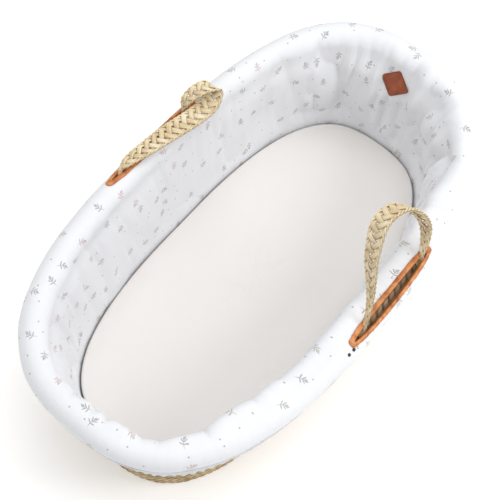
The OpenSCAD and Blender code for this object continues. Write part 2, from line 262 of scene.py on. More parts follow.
def makePiece(name, shapes, material):
    # joins shapes into one mesh object; a quad with its last corner doubled is a triangle
    points, quads, uvs, creases, tones, start = [], [], [], [], [], 0
    for n, shape in enumerate(shapes):
        points.append(shape["points"])
        quads.append(shape["quads"] + start)
        uvs.append(shape["uv"])
        creases.append(shape.get("crease", np.zeros(len(shape["points"]))))
        tones.append(np.full(len(shape["points"]), shape.get("tone", (n * 0.618) % 1)))
        start += len(shape["points"])
    points, quads, uvs = np.vstack(points), np.vstack(quads), np.concatenate(uvs)
    pointed = (quads[:, 2] == quads[:, 3]) | (quads[:, 0] == quads[:, 1])
    flip = quads[:, 0] == quads[:, 1]
    quads[flip] = np.roll(quads[flip], -1, axis=1)
    uvs[flip] = np.roll(uvs[flip], -1, axis=1)
    sides = np.where(pointed, 3, 4)
    use = np.ones(quads.shape, bool)
    use[pointed, 3] = False
    mesh = bpy.data.meshes.new(name)
    mesh.vertices.add(len(points))
    mesh.vertices.foreach_set("co", points.astype(np.float32).ravel())
    mesh.loops.add(int(sides.sum()))
    mesh.loops.foreach_set("vertex_index", quads[use].astype(np.int32))
    mesh.polygons.add(len(quads))
    mesh.polygons.foreach_set("loop_start", np.r_[0, np.cumsum(sides)[:-1]].astype(np.int32))
    mesh.polygons.foreach_set("use_smooth", np.ones(len(quads), bool))
    mesh.update(calc_edges=True)
    layer = mesh.uv_layers.new(name="length")
    layer.uv.foreach_set("vector", uvs[use].astype(np.float32).ravel())
    for key, values in {"crease": np.concatenate(creases), "tone": np.concatenate(tones)}.items():
        mesh.attributes.new(key, "FLOAT", "POINT").data.foreach_set("value", values.astype(np.float32))
    mesh.validate()
    piece = bpy.data.objects.new(name, mesh)
    bpy.context.scene.collection.objects.link(piece)
    mesh.materials.append(material)
    return piece


def twoSkins(front, back, u, v, keep=None):
    # a thick shell: two skins on the same grid, wrapped along columns, joined at every open edge
    rows, columns = front.shape[:2]
    cells = np.ones((rows - 1, columns), bool) if keep is None else keep
    quads, corner = gridFaces(rows, columns, False, True, cells)
    size = rows * columns
    uExtended = np.r_[u, u[-1] + (u[1] - u[0])]
    uv = np.stack([uExtended[corner[..., 1]], v[corner[..., 0]]], -1)
    allQuads, allUv = [quads, quads[:, ::-1] + size], [uv, uv[:, ::-1]]
    # open edges: along the rows where a cell has no neighbour above or below, and along the hole's ends
    padded = np.vstack([np.zeros((1, columns), bool), cells, np.zeros((1, columns), bool)])
    lower = padded[1:] & ~padded[:-1]           # the edge is a cell's first row
    upper = padded[:-1] & ~padded[1:]           # the edge is a cell's last row
    for mask, order in ((lower, 1), (upper, -1)):
        i, j = np.nonzero(mask)
        a, b = i * columns + j, i * columns + (j + 1) % columns
        strip = np.stack([a, b, b + size, a + size], -1)[:, ::order]
        stripUv = np.stack([np.stack([uExtended[j], v[i]], -1), np.stack([uExtended[j + 1], v[i]], -1)] * 2,
                           1)
        allQuads.append(strip)
        allUv.append(stripUv)
    left = cells & ~np.roll(cells, 1, axis=1)
    right = cells & ~np.roll(cells, -1, axis=1)
    for mask, shift, order in ((left, 0, -1), (right, 1, 1)):
        i, j = np.nonzero(mask)
        column = (j + shift) % columns
        a, b = i * columns + column, (i + 1) * columns + column
        allQuads.append(np.stack([a, b, b + size, a + size], -1)[:, ::order])
        allUv.append(np.stack([np.stack([uExtended[j], v[i]], -1),
                               np.stack([uExtended[j], v[i + 1]], -1)] * 2, 1))
    points = np.vstack([front.reshape(-1, 3), back.reshape(-1, 3)])
    quads, uv = np.vstack(allQuads), np.concatenate(allUv)
    return outwardShape(points, quads, uv)


# materials

def colour(code):
    # sRGB hex to linear
    parts = [int(code[i:i + 2], 16) / 255 for i in (1, 3, 5)]
    return tuple(p / 12.92 if p <= 0.04045 else ((p + 0.055) / 1.055) ** 2.4 for p in parts) + (1.0,)


def addNode(tree, kind, settings=None, inputs=None, stops=None):
    # one node with its settings, its sockets set or linked, and a ramp's stops
    node = tree.nodes.new(kind)
    for key, value in (settings or {}).items():
        setattr(node, key, value)
    for key, value in (inputs or {}).items():
        if isinstance(value, bpy.types.NodeSocket):
            tree.links.new(value, node.inputs[key])
        else:
            node.inputs[key].default_value = value
    if stops:
        ramp = node.color_ramp.elements
        while len(ramp) < len(stops):
            ramp.new(0.5)
        for element, (place, code) in zip(ramp, stops):
            element.position = place
            element.color = colour(code) if isinstance(code, str) else (code, code, code, 1)
    return node


def startMaterial(name, roughness, sheen=0.0, sheenRoughness=0.5, ior=1.5, specular=0.5):
    made = bpy.data.materials.new(name)
    made.use_nodes = True
    tree = made.node_tree
    shader = tree.nodes["Principled BSDF"]
    shader.inputs["Roughness"].default_value = roughness
    shader.inputs["Sheen Weight"].default_value = sheen
    shader.inputs["Sheen Roughness"].default_value = sheenRoughness
    shader.inputs["IOR"].default_value = ior
    shader.inputs["Specular IOR Level"].default_value = specular
    return made, tree, shader


def mixColour(tree, share, first, second, blend="MIX"):
    node = addNode(tree, "ShaderNodeMix", {"data_type": "RGBA", "blend_type": blend})
    for index, value in ((0, share), (6, first), (7, second)):
        if isinstance(value, bpy.types.NodeSocket):
            tree.links.new(value, node.inputs[index])
        else:
            node.inputs[index].default_value = value
    return node.outputs[2]


def sprigPrint(tree, fabric, look):
    # small scattered sprigs and dots, placed on the cloth's own length and width in metres
    cloth = addNode(tree, "ShaderNodeUVMap", {"uv_map": "length"}).outputs["UV"]
    cells = addNode(tree, "ShaderNodeTexVoronoi", {"voronoi_dimensions": "2D"},
                    {"Vector": cloth, "Scale": 1 / look["sprigSpacing"], "Randomness": 0.9})
    split = addNode(tree, "ShaderNodeSeparateColor", {}, {"Color": cells.outputs["Color"]})
    local = addNode(tree, "ShaderNodeVectorMath", {"operation": "SUBTRACT"},
                    {0: cloth, 1: cells.outputs["Position"]}).outputs[0]
    turn = addNode(tree, "ShaderNodeMath", {"operation": "MULTIPLY"},
                   {0: split.outputs["Red"], 1: full}).outputs[0]
    turned = addNode(tree, "ShaderNodeVectorRotate", {"rotation_type": "Z_AXIS"},
                     {"Vector": local, "Angle": turn})
    sized = addNode(tree, "ShaderNodeVectorMath", {"operation": "SCALE"},
                    {0: turned.outputs[0], "Scale": 1000 / look["sprigSize"]}).outputs[0]
    axes = addNode(tree, "ShaderNodeSeparateXYZ", {}, {0: sized})
    bend = addNode(tree, "ShaderNodeMath", {"operation": "MULTIPLY"},
                   {0: axes.outputs[1], 1: axes.outputs[1]}).outputs[0]
    bent = addNode(tree, "ShaderNodeMath", {"operation": "MULTIPLY_ADD"},
                   {0: bend, 1: -0.03, 2: axes.outputs[0]}).outputs[0]
    mirrored = addNode(tree, "ShaderNodeMath", {"operation": "ABSOLUTE"}, {0: bent}).outputs[0]
    sprig = addNode(tree, "ShaderNodeCombineXYZ", {}, {0: mirrored, 1: axes.outputs[1]}).outputs[0]
    # stem, three pairs of leaves and a bud, as ellipses: middle, turn, half sizes in millimetres
    ellipses = [((0, -2), 0, (0.45, 6.5)), ((3.0, -1.9), -0.35, (3.2, 0.8)), ((2.4, 2.4), -0.8, (3.4, 0.8)),
                ((1.0, 4.9), -1.15, (2.3, 0.75)), ((0.0, 7.2), 0, (0.9, 1.8))]
    total = None
    for place, angle, size in ellipses:
        inside = addNode(tree, "ShaderNodeMapping", {"vector_type": "TEXTURE"},
                         {"Vector": sprig, "Location": (*place, 0), "Rotation": (0, 0, -angle),
                          "Scale": (*size, 1)})
        far = addNode(tree, "ShaderNodeVectorMath", {"operation": "LENGTH"},
                      {0: inside.outputs[0]}).outputs["Value"]
        mask = addNode(tree, "ShaderNodeMapRange", {}, {0: far, 1: 1.25, 2: 0.8, 3: 0.0, 4: 1.0}).outputs[0]
        total = mask if total is None else addNode(tree, "ShaderNodeMath", {"operation": "MAXIMUM"},
                                                   {0: total, 1: mask}).outputs[0]
    shown = addNode(tree, "ShaderNodeMath", {"operation": "LESS_THAN"},
                    {0: split.outputs["Blue"], 1: look["sprigShare"]})
    total = addNode(tree, "ShaderNodeMath", {"operation": "MULTIPLY"},
                    {0: total, 1: shown.outputs[0]}).outputs[0]
    inks = addNode(tree, "ShaderNodeValToRGB", {}, {0: split.outputs["Green"]}, look["inks"])
    inks.color_ramp.interpolation = "CONSTANT"
    dots = addNode(tree, "ShaderNodeTexVoronoi", {"voronoi_dimensions": "2D"},
                   {"Vector": cloth, "Scale": 1 / look["dotSpacing"], "Randomness": 1.0})
    near = addNode(tree, "ShaderNodeMapRange", {}, {0: dots.outputs["Distance"], 1: look["dotSize"],
                                                    2: look["dotSize"] * 0.55,
                                                    3: 0.0, 4: 1.0}).outputs[0]
    pick = addNode(tree, "ShaderNodeSeparateColor", {}, {"Color": dots.outputs["Color"]})
    some = addNode(tree, "ShaderNodeMath", {"operation": "LESS_THAN"},
                   {0: pick.outputs["Red"], 1: 0.42}).outputs[0]
    dotMask = addNode(tree, "ShaderNodeMath", {"operation": "MULTIPLY"}, {0: near, 1: some}).outputs[0]
    shadeA = addNode(tree, "ShaderNodeMath", {"operation": "MULTIPLY"},
                     {0: total, 1: look["inkStrength"]}).outputs[0]
    shadeB = addNode(tree, "ShaderNodeMath", {"operation": "MULTIPLY"},
                     {0: dotMask, 1: look["inkStrength"]}).outputs[0]
    printed = mixColour(tree, shadeA, fabric, inks.outputs[0])
    return mixColour(tree, shadeB, printed, colour(look["dotInk"])), cloth


gauzeLook = {
    "cloth": "#EDEEF0", "shade": "#E5E6EA",
    "sprigSpacing": 0.047, "sprigSize": 1.1, "sprigShare": 0.85, "inkStrength": 0.62,
    "dotSpacing": 0.026, "dotSize": 0.062, "dotInk": "#77716D",
    "inks": [(0.0, "#8E8883"), (0.35, "#77736F"), (0.62, "#B8968F"), (0.8, "#A39E84")],
    "crinkle": 0.0035,
}


def gauzeMaterial(name, look, crinkleDepth):
    # double cotton gauze, washed: a matt, slightly crinkled off-white cloth with a small grey print
    made, tree, shader = startMaterial(name, 0.9, sheen=0.08, sheenRoughness=0.6, specular=0.25)
    place = addNode(tree, "ShaderNodeTexCoord").outputs["Object"]
    drift = addNode(tree, "ShaderNodeTexNoise", {}, {"Vector": place, "Scale": 9.0, "Detail": 3.0})
    base = mixColour(tree, drift.outputs["Fac"], colour(look["cloth"]), colour(look["shade"]))
    printed, cloth = sprigPrint(tree, base, look)
    tree.links.new(printed, shader.inputs["Base Color"])
    # the gauze's crinkle is drawn about twice as coarse as the real 1.5 mm, so that it shows
    crinkle = addNode(tree, "ShaderNodeTexNoise", {}, {"Vector": cloth, "Scale": 1 / look["crinkle"],
                                                       "Detail": 4.0,
                                                       "Roughness": 0.6})
    longCrease = addNode(tree, "ShaderNodeMapping", {}, {"Vector": cloth, "Scale": (1.0, 0.25, 1.0)})
    soft = addNode(tree, "ShaderNodeTexNoise", {}, {"Vector": longCrease.outputs[0], "Scale": 70.0,
                                                    "Detail": 3.0})
    bump = addNode(tree, "ShaderNodeBump", {}, {"Height": crinkle.outputs["Fac"], "Strength": 0.35,
                                                "Distance": crinkleDepth})
    bump2 = addNode(tree, "ShaderNodeBump", {}, {"Height": soft.outputs["Fac"], "Strength": 0.5,
                                                 "Distance": 0.0025,
                                                 "Normal": bump.outputs[0]})
    tree.links.new(bump2.outputs[0], shader.inputs["Normal"])
    return made


def strawMaterial(name, tones, roughness, fibre, grooveShade):
    # dried palm leaf or maize husk, twisted by hand: fibres run along the strand; the grooves between
    # strands, marked by the crease attribute, get painted shade
    made, tree, shader = startMaterial(name, roughness, specular=0.35)
    strand = addNode(tree, "ShaderNodeUVMap", {"uv_map": "length"}).outputs["UV"]
    tone = addNode(tree, "ShaderNodeAttribute", {"attribute_name": "tone"}).outputs["Fac"]
    crease = addNode(tree, "ShaderNodeAttribute", {"attribute_name": "crease"}).outputs["Fac"]
    place = addNode(tree, "ShaderNodeTexCoord").outputs["Object"]
    stretched = addNode(tree, "ShaderNodeMapping", {}, {"Vector": strand, "Scale": (22.0, fibre, 1.0)})
    fibres = addNode(tree, "ShaderNodeTexNoise", {}, {"Vector": stretched.outputs[0], "Scale": 1.0,
                                                      "Detail": 5.0,
                                                      "Roughness": 0.65})
    patches = addNode(tree, "ShaderNodeTexNoise", {}, {"Vector": place, "Scale": 55.0, "Detail": 2.0})
    blendA = addNode(tree, "ShaderNodeMath", {"operation": "MULTIPLY_ADD"},
                     {0: fibres.outputs["Fac"], 1: 0.65, 2: -0.1}).outputs[0]
    blendB = addNode(tree, "ShaderNodeMath", {"operation": "MULTIPLY_ADD"},
                     {0: patches.outputs["Fac"], 1: 0.45, 2: blendA}).outputs[0]
    blendC = addNode(tree, "ShaderNodeMath", {"operation": "MULTIPLY_ADD"},
                     {0: tone, 1: 0.14, 2: blendB}).outputs[0]
    base = addNode(tree, "ShaderNodeValToRGB", {}, {0: blendC},
                   [(0.2 + 0.2 * n, code) for n, code in enumerate(tones)])
    # painted shade: colour pulled towards grooveShade where the crease attribute marks a groove
    dark = addNode(tree, "ShaderNodeMapRange", {}, {0: crease, 1: 0.12, 2: 0.5, 3: 0.0, 4: 1.0}).outputs[0]
    final = mixColour(tree, dark, base.outputs[0], colour(grooveShade))
    tree.links.new(final, shader.inputs["Base Color"])
    bump = addNode(tree, "ShaderNodeBump", {}, {"Height": fibres.outputs["Fac"], "Strength": 0.6,
                                                "Distance": 0.0012})
    tree.links.new(bump.outputs[0], shader.inputs["Normal"])
    return made


def leatherMaterial(name, main, dark, light, roughness, grain, wear):
    # tanned hide, pigment dyed: a fine pebbled grain, a soft shine and slightly lighter worn spots
    made, tree, shader = startMaterial(name, roughness, specular=0.5)
    place = addNode(tree, "ShaderNodeTexCoord").outputs["Object"]
    pebbles = addNode(tree, "ShaderNodeTexVoronoi", {"feature": "SMOOTH_F1"},
                      {"Vector": place, "Scale": 1 / grain,
                                                                                 "Smoothness": 0.6})
    stain = addNode(tree, "ShaderNodeTexNoise", {}, {"Vector": place, "Scale": 90.0, "Detail": 4.0})
    tint = addNode(tree, "ShaderNodeValToRGB", {}, {0: stain.outputs["Fac"]},
                   [(0.3, dark), (0.5, main), (0.72, light)])
    # crease times wear pulls the hide towards the dark tone: on the binding this is painted shade where the
    # band turns down into the slot, plus a darker outer edge; on the label, a darker border and stitch groove
    crease = addNode(tree, "ShaderNodeAttribute", {"attribute_name": "crease"}).outputs["Fac"]
    edge = addNode(tree, "ShaderNodeMath", {"operation": "MULTIPLY"}, {0: crease, 1: wear}).outputs[0]
    final = mixColour(tree, edge, tint.outputs[0], colour(dark))
    tree.links.new(final, shader.inputs["Base Color"])
    bump = addNode(tree, "ShaderNodeBump", {}, {"Height": pebbles.outputs["Distance"], "Strength": 0.35,
                                                "Distance": 0.0006})
    tree.links.new(bump.outputs[0], shader.inputs["Normal"])
    return made


def clothMaterial(name, main, shade, thread, depth):
    # plain woven cotton: over and under threads, matt; the weave is drawn coarser than the real 0.5 mm
    made, tree, shader = startMaterial(name, 0.85, sheen=0.06, sheenRoughness=0.5, specular=0.25)
    place = addNode(tree, "ShaderNodeTexCoord").outputs["Object"]
    drift = addNode(tree, "ShaderNodeTexNoise", {}, {"Vector": place, "Scale": 6.0, "Detail": 3.0})
    base = mixColour(tree, drift.outputs["Fac"], colour(main), colour(shade))
    tree.links.new(base, shader.inputs["Base Color"])
    waveX = addNode(tree, "ShaderNodeTexWave", {"bands_direction": "X"},
                    {"Vector": place, "Scale": 0.314 / thread,
                                                                           "Distortion": 0.6, "Detail": 1.0})
    waveY = addNode(tree, "ShaderNodeTexWave", {"bands_direction": "Y"},
                    {"Vector": place, "Scale": 0.314 / thread,
                                                                           "Distortion": 0.6, "Detail": 1.0})
    weave = addNode(tree, "ShaderNodeMath", {"operation": "MULTIPLY"},
                    {0: waveX.outputs["Fac"], 1: waveY.outputs["Fac"]})
    creases = addNode(tree, "ShaderNodeTexNoise", {}, {"Vector": place, "Scale": 14.0, "Detail": 5.0,
                                                       "Roughness": 0.55})
    bump = addNode(tree, "ShaderNodeBump", {}, {"Height": weave.outputs[0], "Strength": 0.25,
                                                "Distance": depth})
    bump2 = addNode(tree, "ShaderNodeBump", {}, {"Height": creases.outputs["Fac"], "Strength": 0.35,
                                                 "Distance": 0.004,
                                                 "Normal": bump.outputs[0]})
    tree.links.new(bump2.outputs[0], shader.inputs["Normal"])
    return made


gauzeCloth = gauzeMaterial("Cotton gauze liner, printed", gauzeLook, 0.0009)
# the skirt and its hem get a darker grey gauze than the liner: painted shade for the steep outer side under
# the roll
shadedSkirtCloth = gauzeMaterial("Cotton gauze skirt, printed, painted shade",
                           {**gauzeLook, "cloth": "#D9DADD", "shade": "#CFD0D5"}, 0.0009)
wallStraw = strawMaterial("Palm leaf, twined wall", ["#6E5738", "#AE9062", "#D3BC92", "#E8D9B6"], 0.75, 9.0,
                          "#2A1F12")
ropeStraw = strawMaterial("Palm leaf, rim rope", ["#6F5A3C", "#93795A", "#B09673", "#C4AE8C"], 0.75, 9.0,
                          "#241A10")
plaitStraw = strawMaterial("Maize husk, plaited handle", ["#B59B70", "#D3BC94", "#E8D9B6", "#F7EFDC"], 0.6,
                           7.0, "#6E5534")
raffiaStraw = strawMaterial("Raffia lashing", ["#B3935C", "#CDB07A", "#E0C898", "#EBD9B2"], 0.65, 6.0,
                            "#4A351C")
bindingHide = leatherMaterial("Leatherette binding, camel", "#C97B3E", "#93501F", "#E0A063", 0.42, 0.0016,
                              0.5)
labelHide = leatherMaterial("Leather label, tanned", "#9C4A28", "#7A3A20", "#AC5832", 0.5, 0.0018, 0.9)
sheetCotton = clothMaterial("Cotton jersey fitted sheet", "#EAE6E3", "#E5E1DD", 0.0022, 0.0004)
print("materials ready")


# padded gauze liner: roll, inner wall

liner = {
    "rollRadius": 22 * mm,
    "innerRadius": 14.7 * mm,    # the hollow round the rim rope
    "firstAngle": -62,           # degrees: how far the roll wraps under on the outside
    "columns": 640,
    "outerRows": 15, "innerRows": 11, "wallRows": 58,
    "slitAngle": 71,             # degrees: the slots lie a little outside the top
    "slitHalf": 6.2 * mm,
    "slotHalfLength": 95 * mm,
    "leftSlotX": -3 * mm, "rightSlotX": 29 * mm,
    "slump": 15 * mm,            # how far the right side's padding sags into the cot
    "gather": 15 * mm,          # height of the gathers on the inner wall
}
slots = {1: liner["leftSlotX"], -1: liner["rightSlotX"]}


def slotOpening(x, y):
    # half opening of the slot along the roll: fat in the middle, pointed at both tips
    opened = np.zeros_like(x)
    for side, middle in slots.items():
        t = np.clip(np.abs(x - middle) / liner["slotHalfLength"], 0, 1)
        shape = (1 - t ** 2.6) ** 0.62
        opened = np.where(y * side > 0, shape, opened)
    return opened * liner["slitHalf"]


def slotNearness(x, y, phi):
    # 1 at the slot's edge, 0 a few centimetres away, measured over the roll's surface
    near = np.zeros_like(x)
    for side, middle in slots.items():
        along = np.maximum(np.abs(x - middle) - liner["slotHalfLength"], 0)
        over = np.maximum(np.abs(phi - math.radians(liner["slitAngle"])) * liner["rollRadius"]
                          - liner["slitHalf"], 0)
        near = np.where(y * side > 0, np.exp(-(along ** 2 + over ** 2) / (2 * 0.009 ** 2)), near)
    return near


# shares of the way round of the notches between the foot end's puffy lobes, and each lobe's height
lobeNotches = np.array([0.4700, 0.4860, 0.5049, 0.5154, 0.5457, 0.5601, 0.5938, 0.6356, 0.6636])
lobeHeights = np.array([4.0, 6.0, 6.5, 9.0, 3.0, 7.5, 10.0, 6.0]) * mm


def footLobes(s):
    # rounded humps with sharp notches between them: height * sin(pi * share) ^ 0.55
    index = np.clip(np.searchsorted(lobeNotches, s) - 1, 0, len(lobeHeights) - 1)
    inside = (s > lobeNotches[0]) & (s < lobeNotches[-1])
    share = np.clip((s - lobeNotches[index]) / (lobeNotches[index + 1] - lobeNotches[index]), 0, 1)
    return np.where(inside, lobeHeights[index] * np.sin(math.pi * share) ** 0.55 - 2.5 * mm, 0)


def around(s, middle, width):
    # bell curve round the rim
    d = np.mod(s - middle + 0.5, 1) - 0.5
    return np.exp(-(d / width) ** 2)


def gatherStrength(s):
    # how strongly the cloth is gathered: most at the head and its right side, little along the left
    return 0.34 + 0.75 * around(s, 0.0, 0.11) + 0.75 * around(s, 0.90, 0.07) \
        + 0.12 * around(s, 0.12, 0.06) + 0.35 * around(s, 0.5, 0.14) + 0.1 * around(s, 0.72, 0.1)


def gathers(s, v):
    # puffy ridges with sharp valleys: |soft noise| ^ 0.8 on slanted columns, in two sizes
    lean = 0.010 * ripple(s, v, 9, 2, 11) + 0.018 * around(s, 0.9, 0.08) * (v - 0.5)
    wide = np.abs(ripple(s + lean * v, v, 42, 2, 21)) ** 0.8
    fine = np.abs(ripple(s - lean * v, v, 96, 3, 22)) ** 0.85
    return 1.1 * wide + 0.55 * fine - 0.6


# the plane of cloth under the label: x at its middle, slope of x with height, height of its middle
labelSeat = (0.3752, math.tan(math.radians(17)), 0.232)


def linerSurface(s, kind, amount):
    # one skin of the liner: rows over the roll by angle, then down the wall by height
    outer, inner, wall = liner["outerRows"], liner["innerRows"], liner["wallRows"]
    x0, y0, nx, ny = ovalAt(psiAt(s), rimA, rimB, basket["rimSquare"])
    slit = math.radians(liner["slitAngle"])
    half = slotOpening(x0, y0) / liner["rollRadius"] + 0.03
    start = math.radians(liner["firstAngle"])
    shareOuter = np.linspace(0, 1, outer)[:, None]
    shareInner = np.linspace(0, 1, inner)[:, None]
    phi = np.vstack([lerp(start, slit - half, shareOuter), lerp(slit + half, math.pi, shareInner)])
    phi = np.vstack([phi, np.full((wall, s.size), math.pi)])
    drop = np.linspace(0, 1, wall + 1)[1:] ** 0.96
    z = np.r_[np.full(outer + inner, rimH), lerp(rimH, 11.8 * mm, drop)][:, None]
    rows = outer + inner + wall
    onWall = (np.arange(rows) >= outer + inner)[:, None]
    sGrid = np.broadcast_to(s, (rows, s.size))
    radius = liner["rollRadius"] if kind == "front" else liner["innerRadius"]
    # roll: middle line plus radius in the direction of phi
    rollX = x0 + nx * radius * np.cos(phi)
    rollY = y0 + ny * radius * np.cos(phi)
    rollZ = rimH + radius * np.sin(phi) + riseAt(x0, rimH)
    # wall: outline of the level, blended with the roll's inner side over the first centimetres
    a, b, k = padLevel(z) if kind == "front" else wallLevel(z)
    back = 0.0 if kind == "front" else -(basket["wallThickness"] / 2 + 0.8 * mm)
    psi = psiAt(s)
    wx, wy, wnx, wny = ovalAt(psi, a, b, k)
    wx, wy = wx + wnx * back, wy + wny * back
    join = smooth(0.0, 42 * mm if kind == "front" else 26 * mm, rimH - z)
    wallX, wallY = lerp(rollX, wx, join), lerp(rollY, wy, join)
    wallZ = z + riseAt(x0, rimH) * z / rimH
    px, py, pz = np.where(onWall, wallX, rollX), np.where(onWall, wallY, rollY), np.where(onWall, wallZ,
                                                                                          rollZ)
    # distance over the cloth from its first row, for the print and the gathers
    overRoll = (phi - start) * liner["rollRadius"]
    over = np.where(onWall, overRoll + (rimH - z), overRoll)
    if kind == "front":
        down = np.clip((over - 0.045) / 0.28, 0, 1)          # 0 at the crest, 1 at the floor
        height = np.broadcast_to(z, pz.shape)
        strength = gatherStrength(sGrid)
        envelope = smooth(0.02, 0.30, down) * (1 - 0.35 * smooth(0.75, 1, down))
        lift = amount["gather"] * strength * envelope * gathers(sGrid, down)
        # the head's slope: padding fills the corner under the roll
        headFill = (around(sGrid, 0, 0.13) + 0.35 * around(sGrid, 0.5, 0.1)) * smooth(0.10, 0.32, down) \
            * (1 - smooth(0.34, 0.72, down))
        lift = lift + 12 * mm * headFill
        # level with the mattress the cloth only gives way, never bulges
        beside = onWall * smooth(90 * mm, 64 * mm, height)
        lift = lerp(lift, np.clip(0.35 * lift, -1.2 * mm, 1.3 * mm), beside)
        # lobes at the foot
        lobeZone = np.exp(-((down - 0.10) / 0.13) ** 2)
        lift = lift + footLobes(sGrid) * lobeZone * smooth(math.radians(100), math.radians(150), phi)
        # the right side's padding sags inwards, from the top of the roll to half way down the wall
        sag = smooth(0.575, 0.64, sGrid) * (1 - smooth(0.83, 0.89, sGrid)) * smooth(70 * mm, 185 * mm,
                                                                                    height)
        lift = lift + liner["slump"] * sag * smooth(math.radians(105), math.radians(165), phi)
        # soft dents in the roll and puckers beside the bindings
        lift = lift + 1.1 * mm * ripple(sGrid, over / 0.33, 48, 5, 31) * (1 - beside)
        near = slotNearness(np.broadcast_to(x0, phi.shape), np.broadcast_to(y0, phi.shape), phi) * ~onWall
        pucker = 0.8 * mm * np.sin(sGrid * full * 190 + 3 * ripple(sGrid, over / 0.3, 60, 3, 33))
        lift = lift * (1 - 0.9 * near) + pucker * near * 0.5
        # flat under the label
        labelPlace = np.exp(-((py - 0.005) / 0.034) ** 4 - ((pz - 0.231) / 0.036) ** 4) * (px > 0) \
            * smooth(math.radians(95), math.radians(120), phi)
        plane = labelSeat[0] + labelSeat[1] * (pz - labelSeat[2])
        lift = lerp(lift, px - plane, labelPlace)
        # inward on the wall, outward from the roll's middle
        towards = -np.where(onWall, 1.0, -np.cos(phi))
        px, py = px + nx * lift * towards, py + ny * lift * towards
        pz = pz + np.where(onWall, 0, np.sin(phi)) * lift
    return np.stack([px, py, pz], -1), over[:, 0]


def buildLiner():
    s = np.arange(liner["columns"]) / liner["columns"]
    front, over = linerSurface(s, "front", liner)
    backSkin, _ = linerSurface(s, "back", liner)
    keep = np.ones((front.shape[0] - 1, s.size), bool)
    x, y, _, _ = ovalAt(psiAt(s + 0.5 / s.size), rimA, rimB, basket["rimSquare"])
    for side, middle in slots.items():
        opened = (y * side > 0) & (np.abs(x - middle) < liner["slotHalfLength"] - 1 * mm)
        keep[liner["outerRows"] - 1, opened] = False
    shell = twoSkins(front, backSkin, s * rimLength, over, keep)
    piece = makePiece("padded_gauze_liner", [shell], gauzeCloth)
    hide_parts("liner_wall_head", "liner_wall_foot", "liner_wall_left", "liner_wall_right",
                "liner_roll_head", "liner_roll_foot", "liner_roll_left", "liner_roll_right")
    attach(piece, "basket")
    return piece


buildLiner()
print("liner ready")


def buildFloorPad():
    # a thin quilted pad over the base: rings from the middle out, low diamonds between stitch lines
    low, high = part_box("liner_floor")
    rings, columns = 60, 180
    psi = np.arange(columns) / columns * full
    share = np.linspace(0, 1, rings)[:, None]
    x, y, _, _ = ovalAt(psi, high.x, high.y, basket["baseSquare"])
    x, y = x * share, y * share
    quilt = np.abs(np.sin((x + y) * math.pi / 0.06) * np.sin((x - y) * math.pi / 0.06)) ** 0.5
    edge = np.sqrt(np.clip(1 - share ** 12, 0, 1))
    top = low.z + (high.z - low.z) * (0.45 + 0.55 * quilt) * edge
    bottom = low.z + 0 * top
    ring = np.concatenate([np.stack([x, y, top], -1), np.stack([x, y, bottom], -1)[::-1]])
    quads, corner = gridFaces(2 * rings, columns, False, True)
    uv = np.stack([corner[..., 1] / columns * 1.6, corner[..., 0] / rings * 0.2], -1)
    points = ring.reshape(-1, 3)
    piece = makePiece("quilted_floor_pad", [outwardShape(points, quads, uv)], gauzeCloth)
    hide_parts("liner_floor")
    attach(piece, "basket")


buildFloorPad()


# gathered skirt and its elastic hem

skirt = {
    "topZ": 236.5 * mm, "hemZ": 117 * mm, "topOut": 19.6 * mm, "hemOut": 9.9 * mm,
    "thickness": 1.6 * mm, "rows": 26, "columns": 900, "folds": 120, "foldHeight": 2.4 * mm,
}


def skirtSkin(s, share, outward):
    # rings from the roll down to the hem, with folds that grow towards the gathered hem
    z = lerp(skirt["topZ"], skirt["hemZ"], share)
    x0, y0, nx, ny = ovalAt(psiAt(s), rimA, rimB, basket["rimSquare"])
    a, b, k = wallLevel(z)
    wx, wy, wnx, wny = ovalAt(psiAt(s), a, b, k)
    cling = smooth(0, 0.8, share) ** 0.8
    hemX, hemY = wx + wnx * skirt["hemOut"], wy + wny * skirt["hemOut"]
    topX, topY = x0 + nx * skirt["topOut"], y0 + ny * skirt["topOut"]
    fold = skirt["foldHeight"] * smooth(0.0, 1.0, share) * (
        0.7 * np.sin(s * full * skirt["folds"] + 5 * ripple(s, share, 50, 2, 41)) + 0.5 * ripple(s, share,
                                                                                                 90, 2, 42))
    fold = fold + 1.5 * mm * ripple(s, share, 40, 3, 43) * np.sin(share * math.pi)
    px, py = lerp(topX, hemX, cling), lerp(topY, hemY, cling)
    push = fold + outward
    z = z + riseAt(x0, rimH) * z / rimH
    return np.stack([px + nx * push, py + ny * push, z + 0 * px], -1)


def buildSkirt():
    s = np.arange(skirt["columns"]) / skirt["columns"]
    share = np.linspace(0, 1, skirt["rows"])[:, None]
    half = skirt["thickness"] / 2
    front, behind = skirtSkin(s, share, half), skirtSkin(s, share, -half)
    v = (np.linspace(0, 1, skirt["rows"])) * 0.117 - 0.14
    shell = twoSkins(front, behind, s * rimLength, v)
    piece = makePiece("gathered_gauze_skirt", [shell], shadedSkirtCloth)
    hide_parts("liner_skirt")
    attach(piece, "basket")
    # hem: a flat tube of cloth puckered by the elastic inside
    columns = 900
    s = np.arange(columns) / columns
    z = 115.5 * mm
    a, b, k = wallLevel(z)
    path = ringPoints(s, a, b, k, 7.4 * mm, z)
    _, _, nx, ny = ovalAt(psiAt(s), a, b, k)
    outward, upward = ringAxes(nx, ny)
    angle = np.arange(12) / 12 * full
    pucker = 1 + 0.22 * np.sin(s * full * 210)[:, None]
    hem = sweep(path, outward, upward, np.cos(angle) * 2.0 * mm * pucker, np.sin(angle) * 4.4 * mm, True,
                s * 2.0)
    hemPiece = makePiece("elastic_hem_casing", [hem], shadedSkirtCloth)
    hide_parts("skirt_hem")
    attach(hemPiece, "basket")


# woven straw: wall, base and rim

weave = {
    "rowHeight": 9.2 * mm, "ropeDeep": 4.3 * mm, "ropeHigh": 5.6 * mm,
    "pitch": 25 * mm,             # one full twist of a pair of strands
    "columns": 760, "hiddenColumns": 380, "sides": 9,
    "belly": 3.5 * mm,            # how far the lowest rows stand out
    "baseRope": 12.4 * mm,
}


